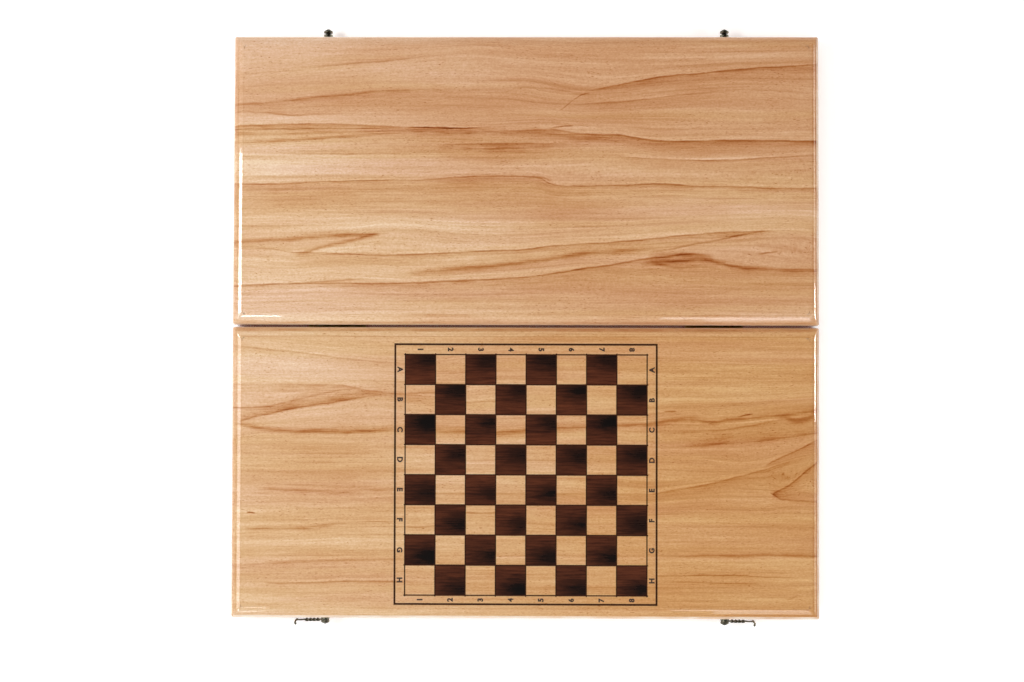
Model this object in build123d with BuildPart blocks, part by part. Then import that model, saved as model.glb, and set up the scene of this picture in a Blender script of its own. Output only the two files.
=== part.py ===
from build123d import *

import os
from math import asin, atan2, cos, degrees, hypot, radians, sin

# A backgammon case in two equal wooden halves, joined by two butt hinges and held
# shut by two swing hooks. It lies open and face down, as it is stored here: the
# moulded outer panels are up, the open trays face the table.
#
# Frame: X runs along the hinge line, Y across it with the plain half at +Y and the
# half with the chessboard at -Y, Z is up and the table is Z = 0. The hinge knuckles
# stand proud of the rims, so the open case rests on the knuckles and on its two
# outer rims, and each half slopes down by a small angle, TILT.
#
# Each half has its own coordinates: x along the hinge line, s outward from the
# hinge axis, h up from the hinge axis.

os.makedirs("parts", exist_ok=True)

# Case
LENGTH = 600.0  # along the hinge line
DEPTH = 296.9  # back face to front face of one half
BACK = 1.1  # hinge axis to the back face of each half
RIM = 0.15  # hinge axis to the rim plane of each half
WALL_T = 12.0
WALL_H = 20.0
CORNER_R = 2.0  # upright outer corners
RIM_CHAMFER = 0.6
FINGERS = 5  # finger joint in the wall's height
FIELD_T = 2.5  # inner playing board
FIELD_GAP = 0.2
PANEL_T = 8.0
PANEL_EDGE = 3.0  # upright part of the panel's moulded edge
PANEL_BEND = (2.4, 6.1)  # inset and height where the moulding flattens out
PANEL_STEP = (8.3, 7.4)  # inset and height of the crease round the flat field

# Hinges
HINGE_X = 195.0
HINGE_L = 60.0
LEAF_W = 11.0  # hinge axis to the leaf's far edge
LEAF_T = 1.0
KNUCKLES = 5
KNUCKLE_R = 1.75
KNUCKLE_GAP = 0.25
GROOVE_R = 2.3  # relief in the back walls round the knuckles
PIN_R = 0.75
BORE_FIXED_R = 0.77
BORE_FREE_R = 0.80
SCREW_SPACING = 21.0
SCREW_S = 6.4
SCREW_R = 1.0
SCREW_LENGTH = 9.2
SCREW_HEAD_R = 1.9
PILOT_R = 1.02

# Hooks and catches
LATCH_X = 204.5
LATCH_H = 14.0  # above the rim
HOOK_DROOP = 18.9  # hangs below level, its tip just off the table
PIVOT_R = 1.7
PIVOT_HOLE_R = 1.75
FIXING_R = 1.2  # the threaded part, in the wall
FIXING_HOLE_R = 1.22
FIXING_L = 10.0
HOOK_BASE_R = 4.4
HOOK_BASE_T = 2.2
HOOK_Z = 2.5  # wall to the hook's inner face at the pivot
HOOK_T = 1.1
HOOK_RISE = 1.1  # the crank that lifts the mouth over the catch's collar
CRANK = (8.0, 22.0)  # where the crank starts and ends, from the pivot
PIVOT_HEAD = (3.9, 4.4, 4.9, (2.4, 6.1), 7.2)
CATCH_BASE_R = 4.6
CATCH_BASE_T = 3.3
NECK_R = 2.4
MOUTH_R = 2.7
MOUTH_OUTER_R = 5.1
PROUD = 9.2  # wall to the outermost point of catches and hooks
CATCH_HEAD = (5.1, 4.6, 6.3, (2.9, 7.7), PROUD)
# Head sizes: underside, radius, top of the straight side, shoulder, top of the dome.

REACH = 2 * (LATCH_H + RIM)  # pivot to catch when the case is shut
FRONT = BACK + DEPTH  # hinge axis to the front face
OUTER_RIM = FRONT - RIM_CHAMFER
TILT = asin(KNUCKLE_R / hypot(OUTER_RIM, RIM)) + atan2(RIM, OUTER_RIM)
FINGER_H = WALL_H / FINGERS
KNUCKLE_L = HINGE_L / KNUCKLES


class Half:
    """One half of the case, with its own x, s, h coordinates."""

    def __init__(self, side):
        self.side = side
        self.up = Vector(0, side * sin(TILT), cos(TILT))
        self.out = Vector(0, side * cos(TILT), -sin(TILT))
        self.plane = Plane(origin=(0, 0, KNUCKLE_R), x_dir=(1, 0, 0), z_dir=self.up)

    def point(self, x, s, h):
        return self.plane.from_local_coords(Vector(x, self.side * s, h))

    def at(self, shape):
        """The x, s, h coordinates of a shape's centre."""
        p = self.plane.to_local_coords(shape.center())
        return p.X, self.side * p.Y, p.Z

    def level(self, h):
        """A plane at height h, seen from above."""
        return self.plane.offset(h)

    def below(self, x, s, h):
        """A plane facing down, for what is driven in from the rim."""
        return Plane(origin=self.point(x, s, h), x_dir=(1, 0, 0), z_dir=-self.up)

    def across(self, x):
        """A plane across the hinge axis, its normal along +X."""
        return Plane(origin=self.point(x, 0, 0), x_dir=self.out, z_dir=(1, 0, 0))

    def front(self, x, stand_off=0.0):
        """A plane on the front face at the latch height, facing out."""
        return Plane(
            origin=self.point(x, FRONT + stand_off, RIM + LATCH_H),
            x_dir=(1, 0, 0),
            z_dir=self.out,
        )

    def turned(self, x):
        """The plane of a turned piece's profile: local x is the radius, local y outward."""
        return Plane(
            origin=self.point(x, FRONT, RIM + LATCH_H),
            x_dir=self.up,
            z_dir=self.up.cross(self.out),
        )


CHESS = Half(-1)
PLAIN = Half(+1)


def round_corners(half, wall, s_face):
    """Rounds the upright outer edges at both ends of one face of a half."""
    corners = wall.edges().filter_by(Axis((0, 0, 0), half.up)).filter_by(
        lambda e: abs(abs(half.at(e)[0]) - LENGTH / 2) < 0.01
        and abs(half.at(e)[1] - s_face) < 0.01
    )
    fillet(corners, radius=CORNER_R)


def long_wall(half, s_near, s_far, s_face):
    """A front or back wall: full length, the even fingers cut away at both ends."""
    middle = (s_near + s_far) / 2
    with BuildPart() as wall:
        with BuildSketch(half.level(RIM)):
            with Locations((0, half.side * middle)):
                Rectangle(LENGTH, WALL_T)
        extrude(amount=WALL_H)
        for k in range(1, FINGERS, 2):
            with BuildSketch(half.level(RIM + k * FINGER_H)):
                for end in (-1, 1):
                    with Locations((end * (LENGTH - WALL_T) / 2, half.side * middle)):
                        Rectangle(WALL_T, WALL_T)
            extrude(amount=FINGER_H, mode=Mode.SUBTRACT)
        round_corners(half, wall, s_face)
        rim = wall.edges().filter_by(
            lambda e: abs(half.at(e)[2] - RIM) < 0.01
            and (
                abs(half.at(e)[1] - s_face) < CORNER_R
                or abs(half.at(e)[0]) > LENGTH / 2 - 0.01
            )
        )
        chamfer(rim, length=RIM_CHAMFER)
        if s_face == BACK:
            # A mortise, a knuckle relief and pilot holes for each hinge.
            for x in (-HINGE_X, HINGE_X):
                with BuildSketch(half.level(RIM)):
                    with Locations((x, half.side * (BACK + LEAF_W + 0.1) / 2)):
                        Rectangle(HINGE_L + 0.2, LEAF_W + 0.1 - BACK)
                extrude(amount=LEAF_T, mode=Mode.SUBTRACT)
                with BuildSketch(half.across(x - HINGE_L / 2 - 0.3)):
                    Circle(GROOVE_R)
                extrude(amount=HINGE_L + 0.6, mode=Mode.SUBTRACT)
                for dx in (-SCREW_SPACING, 0, SCREW_SPACING):
                    with Locations(half.below(x + dx, SCREW_S, RIM)):
                        Hole(radius=PILOT_R, depth=SCREW_LENGTH + 0.4)
        else:
            for x in (-LATCH_X, LATCH_X):
                with Locations(half.front(x)):
                    Hole(radius=FIXING_HOLE_R, depth=FIXING_L + 0.4)
    return wall


def end_wall(half, end):
    """A left or right wall: the odd fingers cut away at both ends."""
    with BuildPart() as wall:
        x = end * (LENGTH - WALL_T) / 2
        with BuildSketch(half.level(RIM)):
            with Locations((x, half.side * (BACK + DEPTH / 2))):
                Rectangle(WALL_T, DEPTH)
        extrude(amount=WALL_H)
        for k in range(0, FINGERS, 2):
            with BuildSketch(half.level(RIM + k * FINGER_H)):
                for s in (BACK + WALL_T / 2, FRONT - WALL_T / 2):
                    with Locations((x, half.side * s)):
                        Rectangle(WALL_T, WALL_T)
            extrude(amount=FINGER_H, mode=Mode.SUBTRACT)
        round_corners(half, wall, BACK)
        round_corners(half, wall, FRONT)
        rim = wall.edges().filter_by(
            lambda e: abs(half.at(e)[2] - RIM) < 0.01
            and abs(half.at(e)[0]) > LENGTH / 2 - 0.01
        )
        chamfer(rim, length=RIM_CHAMFER)
    return wall


def outer_panel(half):
    """The panel that closes a half, with a moulded edge and a slightly raised field."""
    base = RIM + WALL_H
    centre = (0, half.side * (BACK + DEPTH / 2))
    bend_in, bend_h = PANEL_BEND
    step_in, step_h = PANEL_STEP
    with BuildPart() as panel:
        with BuildSketch(half.level(base)):
            with Locations(centre):
                RectangleRounded(LENGTH, DEPTH, CORNER_R)
        extrude(amount=PANEL_EDGE)
        with BuildSketch(half.level(base + PANEL_EDGE)):
            with Locations(centre):
                RectangleRounded(LENGTH, DEPTH, CORNER_R)
        with BuildSketch(half.level(base + bend_h)):
            with Locations(centre):
                RectangleRounded(LENGTH - 2 * bend_in, DEPTH - 2 * bend_in, 1.5)
        with BuildSketch(half.level(base + step_h)):
            with Locations(centre):
                RectangleRounded(LENGTH - 2 * step_in, DEPTH - 2 * step_in, 1.0)
        loft(ruled=True)
        with BuildSketch(half.level(base + step_h)):
            with Locations(centre):
                RectangleRounded(LENGTH - 2 * step_in, DEPTH - 2 * step_in, 1.0)
        extrude(amount=PANEL_T - step_h)
    return panel


def playing_board(half):
    """The thin inner board with the points, glued under the panel inside the walls."""
    with BuildPart() as board:
        with BuildSketch(half.level(RIM + WALL_H - FIELD_T)):
            with Locations((0, half.side * (BACK + DEPTH / 2))):
                Rectangle(
                    LENGTH - 2 * (WALL_T + FIELD_GAP), DEPTH - 2 * (WALL_T + FIELD_GAP)
                )
        extrude(amount=FIELD_T)
    return board


def hinge_leaf(half, x, first, bore_r):
    """A hinge leaf let into the rim. It carries every other knuckle, from first on."""
    relief = KNUCKLE_R + 0.35
    with BuildPart() as leaf:
        with BuildSketch(half.level(RIM)):
            with Locations((x, half.side * (relief + LEAF_W) / 2)):
                Rectangle(HINGE_L, LEAF_W - relief)
            for k in range(first, KNUCKLES, 2):
                with Locations((x - HINGE_L / 2 + (k + 0.5) * KNUCKLE_L, half.side * relief / 2)):
                    Rectangle(KNUCKLE_L - KNUCKLE_GAP, relief)
        extrude(amount=LEAF_T)
        for k in range(first, KNUCKLES, 2):
            start = x - HINGE_L / 2 + k * KNUCKLE_L + KNUCKLE_GAP / 2
            with BuildSketch(half.across(start)):
                Circle(KNUCKLE_R)
            extrude(amount=KNUCKLE_L - KNUCKLE_GAP)
        with BuildSketch(half.across(x - HINGE_L / 2 - 1)):
            Circle(bore_r)
        extrude(amount=HINGE_L + 2, mode=Mode.SUBTRACT)
        for dx in (-SCREW_SPACING, 0, SCREW_SPACING):
            with Locations(half.below(x + dx, SCREW_S, RIM)):
                CounterSinkHole(
                    radius=SCREW_R + 0.15,
                    counter_sink_radius=SCREW_HEAD_R + 0.1,
                    depth=LEAF_T + 1,
                    counter_sink_angle=90,
                )
    return leaf


def hinge_pin(x):
    """A hinge pin, as long as the hinge."""
    with BuildPart() as pin:
        with BuildSketch(CHESS.across(x - HINGE_L / 2)):
            Circle(PIN_R)
        extrude(amount=HINGE_L)
        chamfer(pin.edges().filter_by(GeomType.CIRCLE), length=0.15)
    return pin


def hinge_screws(half):
    """The six countersunk, slotted screws of one half's two leaves."""
    with BuildPart() as screws:
        for x in (-HINGE_X, HINGE_X):
            for dx in (-SCREW_SPACING, 0, SCREW_SPACING):
                seat = Plane(
                    origin=half.point(x + dx, SCREW_S, RIM),
                    x_dir=(1, 0, 0),
                    z_dir=Vector(1, 0, 0).cross(half.up),
                )
                with BuildSketch(seat):
                    with BuildLine():
                        Polyline(
                            (0, 0.05),
                            (SCREW_HEAD_R, 0.05),
                            (SCREW_R, 0.05 + SCREW_HEAD_R - SCREW_R),
                            (SCREW_R, SCREW_LENGTH - 1.8),
                            (0, SCREW_LENGTH),
                            close=True,
                        )
                    make_face()
                revolve(axis=Axis(seat.origin, half.up))
                with BuildSketch(half.level(RIM)):
                    with Locations((x + dx, half.side * SCREW_S)):
                        Rectangle(2 * SCREW_HEAD_R, 0.5, rotation=17 + 53 * dx / SCREW_SPACING)
                extrude(amount=0.45, mode=Mode.SUBTRACT)
    return screws


def base_plate(half, x, radius, hole, thickness):
    """A round plate between the front wall and a hook or a catch head."""
    with BuildPart() as plate:
        with BuildSketch(half.front(x)):
            Circle(radius)
            Circle(hole, mode=Mode.SUBTRACT)
        extrude(amount=thickness)
        rim = plate.faces().sort_by(Axis((0, 0, 0), half.out))[-1].edges()
        fillet(rim.filter_by(lambda e: e.radius > hole + 0.1), radius=0.45)
    return plate


def turned_stud(half, x, neck, head):
    """A stud with a threaded end in the wall, a plain neck and a domed head."""
    head_low, head_r, head_side, shoulder, top = head
    rise = top - shoulder[1]
    dome_r = (shoulder[0] ** 2 + rise**2) / (2 * rise)  # a spherical cap on the axis
    dome_half = asin(shoulder[0] / dome_r) / 2
    with BuildPart() as stud:
        with BuildSketch(half.turned(x)):
            with BuildLine():
                Polyline(
                    (0, top),
                    (0, -FIXING_L),
                    (0.4, -FIXING_L),
                    (FIXING_R, 1.4 - FIXING_L),
                    (FIXING_R, 0),
                    (neck, 0),
                    (neck, head_low),
                    (head_r - 0.3, head_low),
                    (head_r, head_low + 0.3),
                    (head_r, head_side),
                )
                ThreePointArc(
                    (head_r, head_side),
                    (
                        head_r - 0.25 * (head_r - shoulder[0]),
                        head_side + 0.62 * (shoulder[1] - head_side),
                    ),
                    shoulder,
                )
                ThreePointArc(
                    shoulder,
                    (dome_r * sin(dome_half), top - dome_r * (1 - cos(dome_half))),
                    (0, top),
                )
            make_face()
        revolve(axis=Axis(half.point(x, FRONT, RIM + LATCH_H), half.out))
    return stud


def swing_hook(x):
    """A stamped, cranked hook on its pivot. It points away from the middle of the
    case and hangs a little below level. u runs from the pivot to the tip, v towards
    the side that meets the catch, w out from the hook's inner face."""
    hand = 1 if x > 0 else -1
    droop = radians(HOOK_DROOP)
    along = Vector(1, 0, 0) * (hand * cos(droop)) - CHESS.up * sin(droop)
    inner = CHESS.point(x, FRONT + HOOK_Z, RIM + LATCH_H)
    flat = Plane(origin=inner, x_dir=along, z_dir=CHESS.out)
    turn = -hand  # sign of v in the sketch
    # A plane along the hook and square to it: local x is u, local y is w.
    upright = along.cross(CHESS.out)

    def p(u, v):
        return (u, turn * v)

    def side_plane(v):
        origin = flat.from_local_coords(Vector(0, turn * v, 0))
        return Plane(origin=origin, x_dir=along, z_dir=upright)

    low, high = CRANK
    with BuildPart() as hook:
        with BuildSketch(flat):
            Circle(4.0)
            with BuildLine():
                Polyline(
                    p(0, -3.0),
                    p(9, -2.3),
                    p(20, -2.1),
                    p(24.5, -3.3),
                    p(26.5, -4.6),
                    p(26.5, 2.0),
                    p(23.4, 2.4),
                    p(9, 2.3),
                    p(0, 3.0),
                    close=True,
                )
            make_face()
            with Locations(p(13.3, 0), p(18.3, 0)):
                Circle(3.0)
            with Locations(p(REACH, 0)):
                Circle(MOUTH_OUTER_R)
            with BuildLine():
                Polyline(
                    p(28.4, -3.8),
                    p(28.8, -7.6),
                    p(29.6, -8.4),
                    p(31.2, -8.4),
                    p(31.9, -7.7),
                    p(32.3, -2.6),
                    close=True,
                )
            make_face()
            with Locations(p(REACH, 0)):
                Circle(MOUTH_R, mode=Mode.SUBTRACT)
            ring = [(REACH - MOUTH_R, a) for a in (0, 4, 8, 12)]
            ring += [(REACH + MOUTH_R, a) for a in (12, 8, 4, 0)]
            with BuildLine():
                Polyline(
                    *[p(r * cos(radians(a)), r * sin(radians(a))) for r, a in ring],
                    close=True,
                )
            make_face(mode=Mode.SUBTRACT)
            with Locations(p(REACH, 6.2)):
                Rectangle(14, 5.2, mode=Mode.SUBTRACT)
            Circle(PIVOT_HOLE_R, mode=Mode.SUBTRACT)
        extrude(amount=HOOK_T + HOOK_RISE)
        # The outline is cut from a strip that is cranked outward on its way.
        with BuildSketch(side_plane(0)):
            with BuildLine():
                Polyline(
                    (-6, 0),
                    (low, 0),
                    (high, HOOK_RISE),
                    (36, HOOK_RISE),
                    (36, HOOK_RISE + HOOK_T),
                    (high, HOOK_RISE + HOOK_T),
                    (low, HOOK_T),
                    (-6, HOOK_T),
                    close=True,
                )
            make_face()
        extrude(amount=12, both=True, mode=Mode.INTERSECT)
        # Two pressed beads on the arm.
        for u in (13.3, 18.3):
            front = HOOK_T + HOOK_RISE * (u - low) / (high - low)
            base = flat.offset(front - 0.4)
            centre = base.from_local_coords(Vector(*p(u, 0), 0))
            with BuildSketch(Plane(origin=centre, x_dir=along, z_dir=CHESS.out)):
                Circle(1.7)
            extrude(amount=1.2, taper=28)
        # The thumb tab stands out square from the lobe behind the mouth.
        top = PROUD - HOOK_Z
        with BuildSketch(side_plane(-6.9)):
            with BuildLine():
                Polyline(
                    (29.3, HOOK_RISE + 0.4),
                    (31.6, HOOK_RISE + 0.4),
                    (31.3, top - 1.0),
                    (30.8, top),
                    (30.2, top),
                    (29.7, top - 1.0),
                    close=True,
                )
            make_face()
        extrude(amount=1.4, both=True)
    return hook


# ---------------------------------------------------------------- chess half
chess_panel = outer_panel(CHESS)
chess_panel.part.label = "chess_panel"
export_step(chess_panel.part, "parts/chess_panel.step")

chess_front_wall = long_wall(CHESS, FRONT - WALL_T, FRONT, FRONT)
chess_front_wall.part.label = "chess_front_wall"
export_step(chess_front_wall.part, "parts/chess_front_wall.step")

chess_back_wall = long_wall(CHESS, BACK, BACK + WALL_T, BACK)
chess_back_wall.part.label = "chess_back_wall"
export_step(chess_back_wall.part, "parts/chess_back_wall.step")

chess_left_wall = end_wall(CHESS, -1)
chess_left_wall.part.label = "chess_left_wall"
export_step(chess_left_wall.part, "parts/chess_left_wall.step")

chess_right_wall = end_wall(CHESS, 1)
chess_right_wall.part.label = "chess_right_wall"
export_step(chess_right_wall.part, "parts/chess_right_wall.step")

chess_playfield = playing_board(CHESS)
chess_playfield.part.label = "chess_playfield"
export_step(chess_playfield.part, "parts/chess_playfield.step")

hinge_left_leaf_a = hinge_leaf(CHESS, -HINGE_X, 0, BORE_FIXED_R)
hinge_left_leaf_a.part.label = "hinge_left_leaf_a"
export_step(hinge_left_leaf_a.part, "parts/hinge_left_leaf_a.step")

hinge_right_leaf_a = hinge_leaf(CHESS, HINGE_X, 0, BORE_FIXED_R)
hinge_right_leaf_a.part.label = "hinge_right_leaf_a"
export_step(hinge_right_leaf_a.part, "parts/hinge_right_leaf_a.step")

hinge_left_pin = hinge_pin(-HINGE_X)
hinge_left_pin.part.label = "hinge_left_pin"
export_step(hinge_left_pin.part, "parts/hinge_left_pin.step")

hinge_right_pin = hinge_pin(HINGE_X)
hinge_right_pin.part.label = "hinge_right_pin"
export_step(hinge_right_pin.part, "parts/hinge_right_pin.step")

chess_hinge_screws = hinge_screws(CHESS)
chess_hinge_screws.part.label = "chess_hinge_screws"
export_step(chess_hinge_screws.part, "parts/chess_hinge_screws.step")

hook_left_base = base_plate(CHESS, -LATCH_X, HOOK_BASE_R, PIVOT_HOLE_R, HOOK_BASE_T)
hook_left_base.part.label = "hook_left_base"
export_step(hook_left_base.part, "parts/hook_left_base.step")

hook_right_base = base_plate(CHESS, LATCH_X, HOOK_BASE_R, PIVOT_HOLE_R, HOOK_BASE_T)
hook_right_base.part.label = "hook_right_base"
export_step(hook_right_base.part, "parts/hook_right_base.step")

hook_left_pivot = turned_stud(CHESS, -LATCH_X, PIVOT_R, PIVOT_HEAD)
hook_left_pivot.part.label = "hook_left_pivot"
export_step(hook_left_pivot.part, "parts/hook_left_pivot.step")

hook_right_pivot = turned_stud(CHESS, LATCH_X, PIVOT_R, PIVOT_HEAD)
hook_right_pivot.part.label = "hook_right_pivot"
export_step(hook_right_pivot.part, "parts/hook_right_pivot.step")

# ---------------------------------------------------------------- plain half
plain_panel = outer_panel(PLAIN)
plain_panel.part.label = "plain_panel"
export_step(plain_panel.part, "parts/plain_panel.step")

plain_front_wall = long_wall(PLAIN, FRONT - WALL_T, FRONT, FRONT)
plain_front_wall.part.label = "plain_front_wall"
export_step(plain_front_wall.part, "parts/plain_front_wall.step")

plain_back_wall = long_wall(PLAIN, BACK, BACK + WALL_T, BACK)
plain_back_wall.part.label = "plain_back_wall"
export_step(plain_back_wall.part, "parts/plain_back_wall.step")

plain_left_wall = end_wall(PLAIN, -1)
plain_left_wall.part.label = "plain_left_wall"
export_step(plain_left_wall.part, "parts/plain_left_wall.step")

plain_right_wall = end_wall(PLAIN, 1)
plain_right_wall.part.label = "plain_right_wall"
export_step(plain_right_wall.part, "parts/plain_right_wall.step")

plain_playfield = playing_board(PLAIN)
plain_playfield.part.label = "plain_playfield"
export_step(plain_playfield.part, "parts/plain_playfield.step")

hinge_left_leaf_b = hinge_leaf(PLAIN, -HINGE_X, 1, BORE_FREE_R)
hinge_left_leaf_b.part.label = "hinge_left_leaf_b"
export_step(hinge_left_leaf_b.part, "parts/hinge_left_leaf_b.step")

hinge_right_leaf_b = hinge_leaf(PLAIN, HINGE_X, 1, BORE_FREE_R)
hinge_right_leaf_b.part.label = "hinge_right_leaf_b"
export_step(hinge_right_leaf_b.part, "parts/hinge_right_leaf_b.step")

plain_hinge_screws = hinge_screws(PLAIN)
plain_hinge_screws.part.label = "plain_hinge_screws"
export_step(plain_hinge_screws.part, "parts/plain_hinge_screws.step")

catch_left_flange = base_plate(PLAIN, -LATCH_X, CATCH_BASE_R, NECK_R + 0.05, CATCH_BASE_T)
catch_left_flange.part.label = "catch_left_flange"
export_step(catch_left_flange.part, "parts/catch_left_flange.step")

catch_right_flange = base_plate(PLAIN, LATCH_X, CATCH_BASE_R, NECK_R + 0.05, CATCH_BASE_T)
catch_right_flange.part.label = "catch_right_flange"
export_step(catch_right_flange.part, "parts/catch_right_flange.step")

catch_left_post = turned_stud(PLAIN, -LATCH_X, NECK_R, CATCH_HEAD)
catch_left_post.part.label = "catch_left_post"
export_step(catch_left_post.part, "parts/catch_left_post.step")

catch_right_post = turned_stud(PLAIN, LATCH_X, NECK_R, CATCH_HEAD)
catch_right_post.part.label = "catch_right_post"
export_step(catch_right_post.part, "parts/catch_right_post.step")

# -------------------------------------------------------------- swing hooks
hook_left = swing_hook(-LATCH_X)
hook_left.part.label = "hook_left"
export_step(hook_left.part, "parts/hook_left.step")

hook_right = swing_hook(LATCH_X)
hook_right.part.label = "hook_right"
export_step(hook_right.part, "parts/hook_right.step")

print("tilt of each half, degrees", round(degrees(TILT), 4))
print("hook pivot to catch when shut", round(REACH, 3))
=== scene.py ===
"""A backgammon case, open and face down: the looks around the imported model.

Every piece is placed from the half it belongs to. A half has its own coordinates in
millimetres, as in the model: x along the hinge line, s outward from the hinge axis
and h up from it. The plain half is side +1, at +Y; the half with the chessboard is
side -1, at -Y. Both slope down by TILT from the knuckles they rest on.
"""

import math

import bmesh
import bpy
import numpy as np
from mathutils import Euler, Matrix, Vector


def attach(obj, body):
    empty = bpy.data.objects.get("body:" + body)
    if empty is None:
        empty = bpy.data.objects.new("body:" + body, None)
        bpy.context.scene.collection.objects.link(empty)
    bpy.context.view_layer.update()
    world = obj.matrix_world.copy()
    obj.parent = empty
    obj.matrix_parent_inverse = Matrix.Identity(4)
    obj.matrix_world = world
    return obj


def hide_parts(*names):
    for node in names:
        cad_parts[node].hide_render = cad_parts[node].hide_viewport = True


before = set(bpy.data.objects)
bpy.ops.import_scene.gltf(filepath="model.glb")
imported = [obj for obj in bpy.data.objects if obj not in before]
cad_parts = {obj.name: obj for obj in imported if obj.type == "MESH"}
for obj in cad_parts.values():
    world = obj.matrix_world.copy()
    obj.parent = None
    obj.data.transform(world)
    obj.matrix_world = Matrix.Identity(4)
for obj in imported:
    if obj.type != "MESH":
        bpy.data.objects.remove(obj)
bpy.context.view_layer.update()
scene = bpy.context.scene

TILT = math.radians(0.36604756635796604)
KNUCKLE_R = 1.75
LENGTH = 600.0
BACK = 1.1
FRONT = 298.0
PANEL_BASE = 20.15  # underside of the outer panels
PANEL_T = 8.0
FIELD = PANEL_BASE + PANEL_T  # the flat top of the panels
PLAIN, CHESS = 1, -1

# The panels' moulded edge: the angle of its surface from the flat, in degrees, by the
# inset from the outline. A steep outer edge rounds over into a shallow curve that
# runs up to the field.
EDGE_SLOPES = (
    (0.0, 80.0), (0.3, 70.0), (0.8, 61.0), (1.5, 54.0), (2.3, 45.0), (3.0, 38.0),
    (3.6, 32.0), (4.2, 27.5), (4.8, 25.0), (5.5, 23.2), (6.1, 21.0), (6.35, 18.0),
    (7.0, 16.8), (8.0, 14.6), (9.0, 12.4), (10.1, 9.6), (10.5, 5.0), (10.9, 0.0),
)


def moulded_edge():
    """Its outline, from the underside up, as insets and heights above the underside."""
    insets = [0.0, 0.15, 0.35, 0.6, 0.9, 1.2] + [1.55 + 0.35 * k for k in range(26)]
    insets += [10.5, 10.7, 10.9]
    rise = [0.0]
    for low, high in zip(insets, insets[1:]):
        steps = np.linspace(low, high, 9)
        angles = np.interp((steps[:-1] + steps[1:]) / 2, *zip(*EDGE_SLOPES))
        rise.append(rise[-1] + float(np.tan(np.radians(angles)).sum()) * (high - low) / 8)
    foot = PANEL_T - rise[-1]
    outline = [(0.4, 0.0), (0.1, 0.1), (0.0, 0.4), (0.0, 0.5 * (0.4 + foot))]
    return outline + [(inset, foot + up) for inset, up in zip(insets, rise)]


PROFILE = moulded_edge()
GRID_INSET = 12.0

# The chessboard, printed on the chess half's panel.
SQUARES = (0.95, 151.3, 123.05, 122.3)  # centre x, centre s, half width, half depth
BORDER = (0.7, 150.6, 133.1, 132.0)
LINE_W = 1.3
LETTER_H = 5.9

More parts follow.
